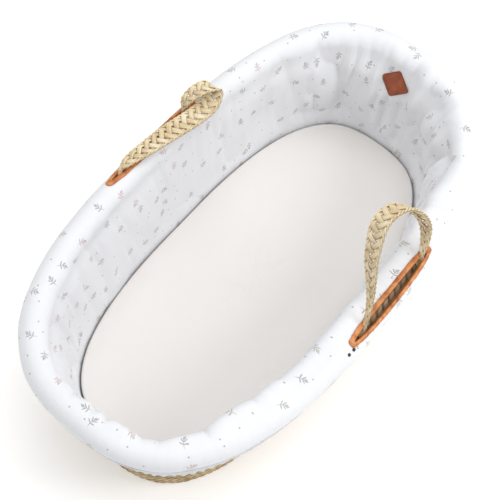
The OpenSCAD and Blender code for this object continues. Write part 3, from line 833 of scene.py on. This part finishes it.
def twistProfile(u, sides, strands, pitch, phase, depth):
    # radius share round a twisted rope: lobes that turn once for each pitch
    angle = np.arange(sides) / sides * full
    turn = strands / 2 * (angle[None, :] - u[:, None] / pitch * full + phase)
    return angle, 1 - depth * (1 - np.abs(np.cos(turn)) ** 0.8)


def twinedRow(z, columns, phase, seed):
    a, b, k = wallLevel(z)
    s = np.arange(columns) / columns
    path = ringPoints(s, a, b, k, weave["belly"] * (1 - smooth(0, 90 * mm, z)), z)
    _, _, nx, ny = ovalAt(psiAt(s), a, b, k)
    outward, upward = ringAxes(nx, ny)
    around2 = rimLength * (a + b) / (rimA + rimB)
    turns = round(around2 / weave["pitch"])
    u = s * turns * weave["pitch"]
    angle, share = twistProfile(u, weave["sides"], 2, weave["pitch"], phase, 0.34)
    rough = 1 + 0.10 * ripple(s, 0 * s, 130, 1, seed)[:, None]
    wobble = path + upward * (0.7 * mm * ripple(s, 0 * s, 70, 1, seed + 1))[:, None]
    shape = sweep(wobble, outward, upward, np.cos(angle) * weave["ropeDeep"] * share * rough,
                  np.sin(angle) * weave["ropeHigh"] * share * rough, True, s * around2)
    # painted shade: darker in the twist's grooves, by how far the rope's section dips in
    shape["crease"] = ((1 - share) / 0.34 * 0.55).reshape(-1)
    return shape


def buildWall():
    count = int((rimH - 16 * mm) / weave["rowHeight"])
    heights = [6.5 * mm + n * weave["rowHeight"] for n in range(count + 1)]
    split = 13
    rows = [twinedRow(z, weave["columns"] if n < split else weave["hiddenColumns"], n % 2 * math.pi / 2,
                      200 + 3 * n) for n, z in enumerate(heights)]
    lower = makePiece("twined_wall_lower", rows[:split], wallStraw)
    upper = makePiece("twined_wall_upper", rows[split:], wallStraw)
    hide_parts("basket_wall")
    for piece in (lower, upper):
        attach(piece, "basket")


def buildBase():
    # flat oval ropes side by side, from the edge to the middle
    shapes, n = [], 0
    low, high = baseBox
    out = 6 * mm
    while out < baseB - 2 * mm:
        a, b = baseA - out, baseB - out
        columns = max(60, int(420 * (a + b) / (baseA + baseB)))
        s = np.arange(columns) / columns
        psi = s * full
        x, y, nx, ny = ovalAt(psi, a, b, basket["baseSquare"])
        path = np.stack([x, y, 0 * x + (low.z + high.z) / 2], -1)
        outward, upward = ringAxes(nx, ny)
        length = np.r_[0, np.cumsum(np.linalg.norm(np.diff(path, axis=0), axis=1))]
        angle, share = twistProfile(length, 8, 2, weave["pitch"], n * 1.3, 0.25)
        shape = sweep(path, outward, upward, np.cos(angle) * 6.3 * mm * share,
                      np.sin(angle) * 4.0 * mm * share, True,
                      length)
        # painted shade: darker in the twist's grooves, by how far the rope's section dips in
        shape["crease"] = ((1 - share) / 0.25 * 0.5).reshape(-1)
        shapes.append(shape)
        out += weave["baseRope"]
        n += 1
    piece = makePiece("coiled_straw_base", shapes, wallStraw)
    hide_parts("basket_base")
    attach(piece, "basket")


def buildRim():
    columns = 700
    s = np.arange(columns) / columns
    path = ringPoints(s, rimA, rimB, basket["rimSquare"], 0.0, rimH)
    _, _, nx, ny = ovalAt(psiAt(s), rimA, rimB, basket["rimSquare"])
    outward, upward = ringAxes(nx, ny)
    angle, share = twistProfile(s * 45 * 0.047, 18, 3, 0.047, 0.0, 0.22)
    radius = basket["rimRadius"]
    shape = sweep(path, outward, upward, np.cos(angle) * radius * share, np.sin(angle) * radius * share,
                  True, s * rimLength)
    # painted shade: darker in the twist's grooves, by how far the rope's section dips in
    shape["crease"] = ((1 - share) / 0.22 * 0.5).reshape(-1)
    piece = makePiece("rim_rope", [shape], ropeStraw)
    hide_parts("basket_rim")
    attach(piece, "basket")


buildWall()
buildBase()
buildRim()
buildSkirt()
print("woven straw and skirt ready")


# slot bindings

binding = {"width": 6.2 * mm, "thickness": 1.15 * mm, "steps": 420, "tipReach": 3.5 * mm}


def rollSurface(s, phi, radius):
    # a point on the roll: the rim's middle line plus radius in the direction of phi
    x, y, nx, ny = ovalAt(psiAt(s), rimA, rimB, basket["rimSquare"])
    return np.stack([x + nx * radius * np.cos(phi), y + ny * radius * np.cos(phi),
                     rimH + riseAt(x, rimH) + radius * np.sin(phi)], -1)


def buildBinding(side, name):
    # a folded band along the slot's edge: over the roll, round the edge and down into the slot
    middle, half = slots[side], liner["slotHalfLength"]
    sMiddle = shareAtX(middle, side)
    turn = np.arange(binding["steps"]) / binding["steps"] * full
    # pointed loop along the slot: x runs with the cosine, the opening follows the slot's own shape
    along = np.cos(turn)
    along = np.sign(along) * (1 - (1 - np.abs(along)) ** 1.15)
    opening = (1 - np.abs(along) ** 2.6) ** 0.62 * liner["slitHalf"] + 0.5 * mm
    a = along * half
    b = np.sign(np.sin(turn) + 1e-9) * opening
    da, db = np.roll(a, -1) - np.roll(a, 1), np.roll(b, -1) - np.roll(b, 1)
    length = np.maximum(np.hypot(da, db), 1e-9)
    na, nb = db / length, -da / length
    for _ in range(3):                                   # soften the turn of the band at the tips
        na, nb = (np.roll(na, 1) + na + np.roll(na, -1)) / 3, (np.roll(nb, 1) + nb + np.roll(nb, -1)) / 3
    length = np.maximum(np.hypot(na, nb), 1e-9)
    na, nb = na / length, nb / length
    width, thick = binding["width"], binding["thickness"]
    # profile: distance away from the slot over the roll, height above the roll
    far = np.array([1.0, 1.0, 0.86, 0.5, 0.15, -0.03, -0.12, -0.16, -0.16, -0.02, 0.02, 0.2, 0.6]) * width
    high = np.array([0.15, 0.75, 1.0, 1.15, 1.1, 0.8, 0.0, -1.5, -4.2, -4.2, -0.5, 0.1, 0.1]) * thick
    inner = (b > 0)                                      # the band nearer the cot is broader
    band = np.where(inner, 1.12, 0.82)
    band = (np.roll(band, 8) + np.roll(band, -8) + band + np.roll(band, 4) + np.roll(band, -4)) / 5
    wave = 1 + 0.06 * ripple(turn / full, 0 * turn, 60, 1, 300 + side)
    reach = far[None, :] * np.where(far > 0, (band * wave)[:, None], 1.0)
    pointy = smooth(0.965, 1.0, np.abs(along))[:, None] * np.where(far > 0, 1, 0) * (far / width)
    aa = a[:, None] + na[:, None] * reach + np.sign(a)[:, None] * pointy * binding["tipReach"]
    bb = b[:, None] + nb[:, None] * reach
    # x falls with s on the left side, rises on the right
    direction = 1 if side > 0 else -1
    s = sMiddle - direction * aa / rimLength
    phi = math.radians(liner["slitAngle"]) + bb / liner["rollRadius"]
    puff = 0.35 * mm * ripple(turn / full, 0 * turn, 90, 1, 310 + side)[:, None]
    points = rollSurface(s, phi, liner["rollRadius"] + 0.35 * mm + high[None, :] + puff)
    rows, sides = points.shape[:2]
    quads, corner = gridFaces(rows, sides, True, True)
    uv = np.stack([corner[..., 0] / rows * 0.44, corner[..., 1] / sides * 0.03], -1)
    flat = points.reshape(-1, 3)
    # painted shade where the band turns down into the slot and underneath; also darker along its outer edge
    crease = np.broadcast_to(np.array([1, 0.9, 0.25, 0, 0, 0.1, 0.5, 0.9, 1, 1, 1, 1, 1.0]),
                             (rows, sides)).reshape(-1)
    piece = makePiece(name, [outwardShape(flat, quads, uv, crease=crease)], bindingHide)
    node = "left_slot_binding" if side > 0 else "right_slot_binding"
    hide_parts(node)
    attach(piece, "basket")


buildBinding(1, "left_slot_edge")
buildBinding(-1, "right_slot_edge")
print("bindings ready")


# plaited handles

handle = {
    "span": 160 * mm, "slotY": 227 * mm, "rootZ": 251 * mm,
    "right": {
        "middle": 31 * mm, "hinge": (-223 * mm, 276 * mm), "high": 121 * mm, "lean": 30,
        "feet": (-0.95, 0.97),
        "route": [(-0.78, 0), (-0.51, 0.22), (-0.30, 0.49), (-0.08, 0.75), (0.35, 1), (0.85, 0.94),
                  (1.18, 0.70),
                  (1.34, 0.40), (1.27, 0.19), (1.03, 0)],
    },
    "left": {
        "middle": -3 * mm, "hinge": (229 * mm, 273 * mm), "reach": 34 * mm, "feet": (-1.02, 0.98),
        "route": [(-0.84, 0, 0), (-0.66, -0.08, 0.16), (-0.34, -0.24, 0.24), (0.36, -0.53, 0.22),
                  (0.96, -0.80, 0.16),
                  (1.40, -0.88, 0.18), (1.66, -0.66, 0.42), (1.60, -0.46, 0.74), (1.34, -0.24, 0.82),
                  (1.11, -0.04, 0.50), (1.02, 0, 0)],
    },
    "width": 35 * mm, "endWidth": 8.6 * mm, "edgeCord": 2.9 * mm, "plaitPitch": 46 * mm,
    "plaitWidth": 9.6 * mm,
    "plaitThickness": 2.6 * mm, "cordPitch": 17 * mm, "samples": 300,
}


def softCurve(points, count):
    # Catmull-Rom curve through the points, then even steps along its length
    p = np.vstack([2 * points[0] - points[1], points, 2 * points[-1] - points[-2]])
    t = np.linspace(0, len(points) - 1 - 1e-9, 2000)
    i = t.astype(int)
    f = (t - i)[:, None]
    a, b, c, d = p[i], p[i + 1], p[i + 2], p[i + 3]
    curve = 0.5 * (2 * b + (c - a) * f + (2 * a - 5 * b + 4 * c - d) * f ** 2
                   + (3 * b - a - 3 * c + d) * f ** 3)
    length = np.r_[0, np.cumsum(np.linalg.norm(np.diff(curve, axis=0), axis=1))]
    even = np.linspace(0, length[-1], count)
    return np.stack([np.interp(even, length, curve[:, n]) for n in range(3)], -1), even


def handleRoute(side):
    # middle line of a strap, with its two roots that go down to the rim, and its widths
    if side < 0:
        d = handle["right"]
        lean = math.radians(d["lean"])
        route = np.array([(d["middle"] + u * handle["span"] / 2,
                           d["hinge"][0] + v * d["high"] * math.sin(lean),
                           d["hinge"][1] + v * d["high"] * math.cos(lean)) for u, v in d["route"]])
        across = np.array([0, math.cos(lean), -math.sin(lean)])
        power, skew = 0.8, 1.3
    else:
        d = handle["left"]
        route = np.array([(d["middle"] + u * handle["span"] / 2, d["hinge"][0] + out * d["reach"],
                           d["hinge"][1] + up * d["reach"]) for u, out, up in d["route"]])
        across = np.array([0, 1.0, 0])
        power, skew = 0.5, 1.0
    feet = np.array([(d["middle"] + f * handle["span"] / 2, side * (handle["slotY"] + 1 * mm),
                      handle["rootZ"])
                     for f in d["feet"]])
    count = handle["samples"]
    body, even = softCurve(route, count)
    width = lerp(handle["endWidth"], handle["width"], np.sin(math.pi * (even / even[-1]) ** skew) ** power)
    steps = 24
    down = np.linspace(0, 1, steps, endpoint=False)[:, None]
    first = lerp(feet[0], body[0], down)
    last = lerp(body[-1], feet[1], down + 1 / steps)
    path = np.vstack([first, body, last])
    for _ in range(10):                                  # ease the bend where the roots begin
        path[1:-1] = (path[:-2] + 2 * path[1:-1] + path[2:]) / 4
    width = np.r_[np.full(steps, handle["endWidth"]), width, np.full(steps, handle["endWidth"])]
    tangent = unit(np.gradient(path, axis=0))
    acrossRow = unit(across - tangent * (tangent @ across)[:, None])
    up = np.cross(tangent, acrossRow)
    length = np.r_[0, np.cumsum(np.linalg.norm(np.diff(path, axis=0), axis=1))]
    return path, acrossRow, up, width, length


def strandShape(path, across, up, offsetA, offsetB, wide, thick, sides, length, tone, flat=1.0):
    # one strand: a small rounded section carried along a line that weaves beside the strap's middle
    line = path + across * offsetA[:, None] + up * offsetB[:, None]
    tangent = unit(np.gradient(line, axis=0))
    sideways = unit(across - tangent * np.einsum("ij,ij->i", tangent, across)[:, None])
    over = np.cross(tangent, sideways)
    angle = np.arange(sides) / sides * full
    c, s = np.cos(angle), np.sin(angle)
    c, s = np.sign(c) * np.abs(c) ** flat, np.sign(s) * np.abs(s) ** flat
    shape = sweep(line, sideways, over, c * np.reshape(wide, (-1, 1)) / 2,
                  s * np.reshape(thick, (-1, 1)) / 2,
                  False, length)
    # painted shade: each strand is darker towards its sideways edges, where it tucks against its neighbours
    paintedEdgeShade = np.broadcast_to(0.5 * np.abs(c) ** 6, (len(line), sides)).reshape(-1)
    shape["crease"] = np.r_[paintedEdgeShade, 0, 0]
    shape["tone"] = tone
    return shape


def buildHandle(side, name, nodes):
    path, across, up, width, length = handleRoute(side)
    h = handle
    share = (width - h["endWidth"]) / (h["width"] - h["endWidth"])
    cord = h["edgeCord"] * (0.62 + 0.38 * share)
    shapes = []
    for edge in (-1, 1):                                 # edge cords: two strands twisted together
        middle = edge * (width / 2 - cord)
        for strand in (0, 1):
            turn = length / h["cordPitch"] * full * edge + strand * math.pi
            shapes.append(strandShape(path, across, up, middle + np.cos(turn) * cord * 0.5,
                                      np.sin(turn) * cord * 0.5, cord * 1.28, cord * 1.28, 8, length,
                                      0.2 + 0.5 * strand))
    reach = np.maximum(width / 2 - cord * 1.75, 0.4 * mm)
    for strand in range(3):                              # centre plait: three flat husks over and under
        turn = length / h["plaitPitch"] * full + strand * full / 3
        shapes.append(strandShape(path, across, up, reach * np.sin(turn), 1.5 * mm * np.sin(2 * turn),
                                  h["plaitWidth"] * (0.5 + 0.5 * share), h["plaitThickness"], 8, length,
                                  0.15 + 0.35 * strand, 0.7))
    piece = makePiece(name, shapes, plaitStraw)
    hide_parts(*nodes)
    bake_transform(piece)
    return piece


buildHandle(1, "left_plaited_handle", ["left_handle_strap", "left_root_head",
                                                      "left_root_foot"])
buildHandle(-1, "right_plaited_handle", ["right_handle_strap", "right_root_head",
                                                         "right_root_foot"])
print("handles ready")


# raffia lashings

def buildLashing(node, name):
    # a helix of raffia wound round the rim rope
    low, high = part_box(node)
    middle = np.array([(low[n] + high[n]) / 2 for n in range(3)])
    side = 1 if middle[1] > 0 else -1
    s = shareAtX(middle[0], side)
    path = ringPoints(np.array([s - 0.001, s, s + 0.001]), rimA, rimB, basket["rimSquare"], 0.0, rimH)
    along = unit(path[2] - path[0])
    across = unit(np.cross(along, [0, 0, 1.0]))
    up = np.cross(across, along)
    turns, width, radius = 5.5, 13.2 * mm, 12.75 * mm
    t = np.linspace(0, 1, 220)
    angle = t * turns * full
    wobble = 1 + 0.02 * np.sin(angle * 0.37 + middle[0] * 50)
    line = path[1] + along * ((t - 0.5) * width)[:, None] + across * (np.cos(angle) * radius * wobble)[:,
                                                                                                       None] \
        + up * (np.sin(angle) * radius * wobble)[:, None]
    outward = unit(line - path[1] - along * ((line - path[1]) @ along)[:, None])
    tangent = unit(np.gradient(line, axis=0))
    sideways = np.cross(tangent, outward)
    section = np.arange(8) / 8 * full
    shape = sweep(line, sideways, outward, np.cos(section) * 1.35 * mm, np.sin(section) * 0.95 * mm)
    piece = makePiece(name, [shape], raffiaStraw)
    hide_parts(node)
    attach(piece, "basket")


for sideName in ("left", "right"):
    for endName in ("head", "foot"):
        buildLashing(f"{sideName}_lashing_{endName}", f"raffia_{sideName}_{endName}")


# mattress: foam core, fitted sheet, elastic

mattress = {
    "crown": 4.5 * mm, "corner": 5.5 * mm, "skin": 1.2 * mm, "columns": 360,
    "turn": 45 * mm,              # how far the sheet turns in below
    "coreTurn": 163 * mm,         # the same for the foam's closed underside
}


def mattressRings(inset, low, high, turned):
    # rings from the top's middle, over the rounded edge, down the side and turned under, each as
    # (scale of the outline, offset from it, height)
    corner = mattress["corner"]
    lowCorner = corner * 0.6
    top, bottom = high.z - inset, low.z + inset
    reach = mattress["turn"] if turned else mattress["coreTurn"]
    rings = []
    for share in np.linspace(0, 1, 34) ** 0.8:
        rings.append((share, -corner - inset, top + mattress["crown"] * (1 - share ** 2.4)))
    for angle in np.radians(np.linspace(0, 90, 7)[1:]):
        rings.append((1.0, -corner * (1 - math.sin(angle)) - inset, top - corner * (1 - math.cos(angle))))
    for share in np.linspace(0, 1, 7)[1:-1]:
        rings.append((1.0, -inset, lerp(top - corner, bottom + lowCorner, share)))
    for angle in np.radians(np.linspace(0, 90, 5)):
        rings.append((1.0, -inset - lowCorner * (1 - math.cos(angle)),
                      bottom + lowCorner * (1 - math.sin(angle))))
    for share in np.linspace(0, 1, 6)[1:]:
        rings.append((1.0, -inset - lowCorner - (reach - corner) * share, bottom))
    return rings


def mattressSkin(columns, inset, turned):
    low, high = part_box("fitted_sheet")
    s = np.arange(columns) / columns
    psi = s * full
    skin = []
    for scale, offset, z in mattressRings(inset, low, high, turned):
        down = np.clip((high.z - z) / (high.z - low.z), 0, 1)
        a, b = high.x - 5.6 * mm * down, high.y - 7.3 * mm * down
        x, y, nx, ny = ovalAt(psi, a, b, 2.84)
        x, y = (x + nx * offset) * scale, (y + ny * offset) * scale
        dent = 0.9 * mm * ripple(s, np.full(columns, scale), 24, 6, 61) * (scale > 0.05)
        skin.append(np.stack([x, y, z + dent * (z > high.z - 0.004)], -1))
    return np.stack(skin)


def buildMattress():
    columns = mattress["columns"]
    front = mattressSkin(columns, 0.0, True)
    inner = mattressSkin(columns, mattress["skin"], True)
    u = np.arange(columns) / columns * 1.8
    v = np.r_[0, np.cumsum(np.linalg.norm(np.diff(front[:, 0], axis=0), axis=1))]
    shell = twoSkins(front, inner, u, v)
    piece = makePiece("fitted_cotton_sheet", [shell], sheetCotton)
    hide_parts("fitted_sheet")
    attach(piece, "mattress")
    core = mattressSkin(160, mattress["skin"] + 0.4 * mm, False)
    rows = core.shape[0]
    quads, corner = gridFaces(rows, 160, False, True)
    last = core[-1].mean(0)
    n = np.arange(160)
    points = np.vstack([core.reshape(-1, 3), last])
    cap = np.stack([np.full(160, len(points) - 1), (rows - 1) * 160 + n, (rows - 1) * 160 + (n + 1) % 160,
                    (rows - 1) * 160 + (n + 1) % 160], -1)
    quads = np.vstack([quads, cap])
    uv = np.concatenate([corner[..., ::-1] * 0.01, np.zeros((160, 4, 2))])
    foam = makePiece("foam_mattress_core", [outwardShape(points, quads, uv)], foamMaterial())
    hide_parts("mattress_core")
    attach(foam, "mattress")
    # elastic: a puckered cord in the sheet's turned edge
    columns = 700
    s = np.arange(columns) / columns
    lowE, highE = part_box("sheet_elastic")
    a, b = highE.x - 3 * mm, highE.y - 3 * mm
    x, y, nx, ny = ovalAt(s * full, a, b, 2.84)
    path = np.stack([x, y, 0 * x + (lowE.z + highE.z) / 2], -1)
    outward, upward = ringAxes(nx, ny)
    angle = np.arange(8) / 8 * full
    pucker = 1 + 0.25 * np.sin(s * full * 170)[:, None]
    ring = sweep(path, outward, upward, np.cos(angle) * 2.9 * mm * pucker,
                 np.sin(angle) * (highE.z - lowE.z) / 2, True, s * 1.6)
    band = makePiece("sheet_elastic_edge", [ring], elasticMaterial())
    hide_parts("sheet_elastic")
    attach(band, "mattress")


def foamMaterial():
    # polyurethane foam, cut: matt cream with fine open cells, drawn at 2 mm
    made, tree, shader = startMaterial("Polyurethane foam, cut", 0.95, specular=0.2)
    place = addNode(tree, "ShaderNodeTexCoord").outputs["Object"]
    cells = addNode(tree, "ShaderNodeTexVoronoi", {}, {"Vector": place, "Scale": 500.0})
    # painted shade: the cell hollows, low in the bump, are coloured darker
    tint = addNode(tree, "ShaderNodeValToRGB", {}, {0: cells.outputs["Distance"]},
                   [(0.1, "#E6DFC8"), (0.7, "#F3EEDD")])
    tree.links.new(tint.outputs[0], shader.inputs["Base Color"])
    bump = addNode(tree, "ShaderNodeBump", {}, {"Height": cells.outputs["Distance"], "Strength": 0.5,
                                                "Distance": 0.001})
    tree.links.new(bump.outputs[0], shader.inputs["Normal"])
    return made


def elasticMaterial():
    # knitted elastic in its hem: white ribs across the cord
    made, tree, shader = startMaterial("Knitted elastic, white", 0.8, sheen=0.1)
    length = addNode(tree, "ShaderNodeUVMap", {"uv_map": "length"}).outputs["UV"]
    ribs = addNode(tree, "ShaderNodeTexWave", {"bands_direction": "X"},
                   {"Vector": length, "Scale": 120.0, "Distortion": 0.3})
    # painted shade: the hollows between ribs, low in the bump, are coloured darker
    tint = addNode(tree, "ShaderNodeValToRGB", {}, {0: ribs.outputs["Fac"]},
                   [(0.2, "#DEDAD2"), (0.8, "#F2F0EB")])
    tree.links.new(tint.outputs[0], shader.inputs["Base Color"])
    bump = addNode(tree, "ShaderNodeBump", {}, {"Height": ribs.outputs["Fac"], "Strength": 0.5,
                                                "Distance": 0.0008})
    tree.links.new(bump.outputs[0], shader.inputs["Normal"])
    return made


buildMattress()
print("mattress ready")


# leather label with its stitches

label = {"side": 42 * mm, "corner": 5 * mm, "thickness": 1.9 * mm, "tilt": 17, "turn": 45,
         "middle": (374.5 * mm, 5 * mm, 232.0 * mm)}


def labelAxes():
    # width, height and outward directions of the label's plane
    tilt = math.radians(label["tilt"])
    side = np.array([0, -1.0, 0])
    up = np.array([math.sin(tilt), 0, math.cos(tilt)])
    out = np.array([-math.cos(tilt), 0, math.sin(tilt)])
    turn = math.radians(label["turn"])
    return side * math.cos(turn) + up * math.sin(turn), up * math.cos(turn) - side * math.sin(turn), out


def roundedSquare(half, corner, count):
    # square with round corners: a wide square pulled in to the corner radius, in even steps
    psi = np.linspace(0, full, 4001)
    x, y = ovalUnit(psi, 30)
    x, y = x * 1.3, y * 1.3
    flat = 1 - corner / half
    inX, inY = np.clip(x, -flat, flat), np.clip(y, -flat, flat)
    away = np.hypot(x - inX, y - inY)
    x, y = inX + (x - inX) / away * corner / half, inY + (y - inY) / away * corner / half
    length = np.r_[0, np.cumsum(np.hypot(np.diff(x), np.diff(y)))]
    even = np.arange(count) / count * length[-1]
    return np.interp(even, length, x) * half, np.interp(even, length, y) * half


def buildLabel():
    right, up, out = labelAxes()
    middle = np.array(label["middle"])
    half = label["side"] / 2
    columns = 128
    x, y = roundedSquare(half, label["corner"], columns)
    t = label["thickness"]
    rings = [(0.0, t), (0.5, t), (0.80, t * 0.98), (0.835, t * 0.84), (0.87, t * 0.97), (0.95, t),
             (0.985, t * 0.8),
             (1.0, t * 0.45), (0.985, 0.0), (0.5, 0.0), (0.0, 0.0)]
    bendOf = 0.0003
    points = []
    for scale, height in rings:
        px, py = x * scale, y * scale
        lift = height - bendOf * ((px / half) ** 2 - (py / half) ** 2)
        points.append(middle + px[:, None] * right + py[:, None] * up + lift[:, None] * out)
    points = np.stack(points)
    quads, corner = gridFaces(len(rings), columns, False, True)
    uv = corner[..., ::-1] / columns * 0.1
    flat = points.reshape(-1, 3)
    # the label is coloured darker in the stitch groove, over its border and underneath
    dark = np.array([0, 0, 0.05, 0.9, 0.5, 0.75, 1, 1, 1, 1, 1.0])
    crease = np.broadcast_to(dark[:, None], (len(rings), columns)).reshape(-1)
    piece = makePiece("leather_label_blank", [outwardShape(flat, quads, uv, crease=crease)], labelHide)
    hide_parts("leather_label")
    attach(piece, "basket")
    # stitches: short rounded bars in the groove
    shapes = []
    sx, sy = roundedSquare(half * 0.845, label["corner"], 176)
    for n in range(44):
        pick = (np.arange(4) + n * 4) % 176
        line = middle + sx[pick][:, None] * right + sy[pick][:, None] * up
        arch = np.array([0.3, 1.0, 1.0, 0.3]) * 0.45 * mm + t * 0.84
        bend = bendOf * ((sx[pick] / half) ** 2 - (sy[pick] / half) ** 2)
        line = line + arch[:, None] * out - out * bend[:, None]
        tangent = unit(np.gradient(line, axis=0))
        across = np.cross(tangent, out)
        ring = np.arange(6) / 6 * full
        shapes.append(sweep(line, across, np.broadcast_to(out, line.shape), np.cos(ring) * 0.45 * mm,
                            np.sin(ring) * 0.4 * mm))
    thread = strawMaterial("Linen thread, waxed", ["#8E4526", "#A35A36", "#B06A44", "#B97750"], 0.6, 4.0,
                           "#5A2C18")
    stitches = makePiece("label_thread", shapes, thread)
    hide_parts("label_stitching")
    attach(stitches, "basket")


buildLabel()


# press studs on the roll

def studMaterial():
    # oxidised brass cap, black lacquer: dark with a small soft highlight
    made, tree, shader = startMaterial("Brass press stud, black lacquer", 0.32, specular=0.5)
    place = addNode(tree, "ShaderNodeTexCoord").outputs["Object"]
    wear = addNode(tree, "ShaderNodeTexNoise", {}, {"Vector": place, "Scale": 600.0, "Detail": 3.0})
    tint = addNode(tree, "ShaderNodeValToRGB", {}, {0: wear.outputs["Fac"]},
                   [(0.35, "#1B1A1A"), (0.75, "#34302E")])
    tree.links.new(tint.outputs[0], shader.inputs["Base Color"])
    return made


def buildStud(node, name, material):
    # a low dome with a rolled foot, turned round the stud's own axis
    low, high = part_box(node)
    middle = np.array([(low[n] + high[n]) / 2 for n in range(3)])
    s = shareAtX(middle[0], -1)
    x, y, _, _ = ovalAt(psiAt(np.array([s])), rimA, rimB, basket["rimSquare"])
    core = np.array([x[0], y[0], rimH + riseAt(x[0], rimH)])
    axis = unit(middle - core)
    seat = core + axis * (np.linalg.norm(middle - core) - 1.3 * mm)
    across = unit(np.cross(axis, [1.0, 0, 0]))
    up = np.cross(axis, across)
    profile = np.array([(0, 2.3), (0.9, 2.25), (1.7, 2.0), (2.3, 1.5), (2.6, 0.9), (2.75, 0.4), (2.6, 0.0),
                        (0, 0.0)]) * mm
    angle = np.arange(24) / 24 * full
    points = seat + axis * profile[:, 1][:, None, None] + profile[:, 0][:, None, None] * (
        across * np.cos(angle)[:, None] + up * np.sin(angle)[:, None])
    quads, corner = gridFaces(len(profile), 24, False, True)
    uv = corner[..., ::-1] * 0.001
    flat = points.reshape(-1, 3)
    piece = makePiece(name, [outwardShape(flat, quads, uv)], material)
    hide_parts(node)
    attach(piece, "basket")


studFinish = studMaterial()
buildStud("press_stud_lower", "press_stud_cap_lower", studFinish)
buildStud("press_stud_upper", "press_stud_cap_upper", studFinish)


# merge the doubled points at poles

def closePoles():
    for piece in bpy.data.objects:
        if piece.type != "MESH" or "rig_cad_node" in piece:
            continue
        work = bmesh.new()
        work.from_mesh(piece.data)
        bmesh.ops.remove_doubles(work, verts=work.verts, dist=1e-6)
        bmesh.ops.dissolve_degenerate(work, dist=1e-7, edges=work.edges)
        work.to_mesh(piece.data)
        work.free()


closePoles()
print("poles closed")


# floor, light and camera

studio = {"floor": 6.0, "world": 0.54, "key": 18.5, "fill": 4.0, "top": 24.0, "floorGlow": 0.25}


def buildStudio():
    low = cadBox[0][2]
    size = studio["floor"]
    n = 40
    x, y = np.meshgrid(np.linspace(-size, size, n), np.linspace(-size, size, n), indexing="ij")
    points = np.stack([x, y, 0 * x + low], -1).reshape(-1, 3)
    quads, corner = gridFaces(n, n)
    made, tree, shader = startMaterial("Matt white paper floor", 0.9, specular=0.1)
    place = addNode(tree, "ShaderNodeTexCoord").outputs["Object"]
    grain = addNode(tree, "ShaderNodeTexNoise", {}, {"Vector": place, "Scale": 3.0})
    tree.links.new(mixColour(tree, grain.outputs["Fac"], colour("#FDFDFD"), colour("#FFFFFF")),
                   shader.inputs["Base Color"])
    shader.inputs["Emission Color"].default_value = (1, 1, 1, 1)
    shader.inputs["Emission Strength"].default_value = studio["floorGlow"]
    floor = makePiece("paper_floor", [{"points": points, "quads": quads[:, ::-1], "uv": corner / n}], made)
    world = bpy.data.worlds.new("Pale studio")
    bpy.context.scene.world = world
    world.use_nodes = True
    world.node_tree.nodes["Background"].inputs[0].default_value = (1, 1, 1, 1)
    world.node_tree.nodes["Background"].inputs[1].default_value = studio["world"]
    lamps = [("Key softbox", (0.8, -1.6, 1.7), 0.9, studio["key"]),
             ("Fill softbox", (-1.6, 0.9, 1.6), 1.6, studio["fill"]),
             ("Top softbox", (0.35, 0.1, 2.4), 1.8, studio["top"])]
    for name, place, width, power in lamps:
        lamp = bpy.data.lights.new(name, "AREA")
        lamp.energy, lamp.size = power, width
        holder = bpy.data.objects.new(name, lamp)
        bpy.context.scene.collection.objects.link(holder)
        holder.location = place
        aim = Vector((0, 0, 0.15)) - Vector(place)
        holder.rotation_euler = aim.to_track_quat("-Z", "Y").to_euler()


def buildCamera():
    azimuth, elevation, roll = (math.radians(a) for a in (-56.37, 63.74, 6.07))
    target, distance = Vector((0.0068, 0.022, 0.13)), 1.712
    back = Vector((math.sin(azimuth) * math.cos(elevation), -math.cos(azimuth) * math.cos(elevation),
                   math.sin(elevation)))
    right = Vector((0, 0, 1)).cross(back).normalized()
    up = back.cross(right)
    turnedRight = right * math.cos(roll) + up * math.sin(roll)
    turnedUp = up * math.cos(roll) - right * math.sin(roll)
    lens = bpy.data.cameras.new("Camera")
    lens.lens, lens.sensor_width = 73.3, 36.0
    camera = bpy.data.objects.new("Camera", lens)
    bpy.context.scene.collection.objects.link(camera)
    place = target + back * distance
    camera.matrix_world = Matrix([[turnedRight[n], turnedUp[n], back[n], place[n]] for n in range(3)] + [[0,
                                                                                                          0,
                                                                                                          0,
                                                                                                          1]])
    bpy.context.scene.camera = camera


buildStudio()
buildCamera()
view = bpy.context.scene.view_settings
view.view_transform = "Standard"
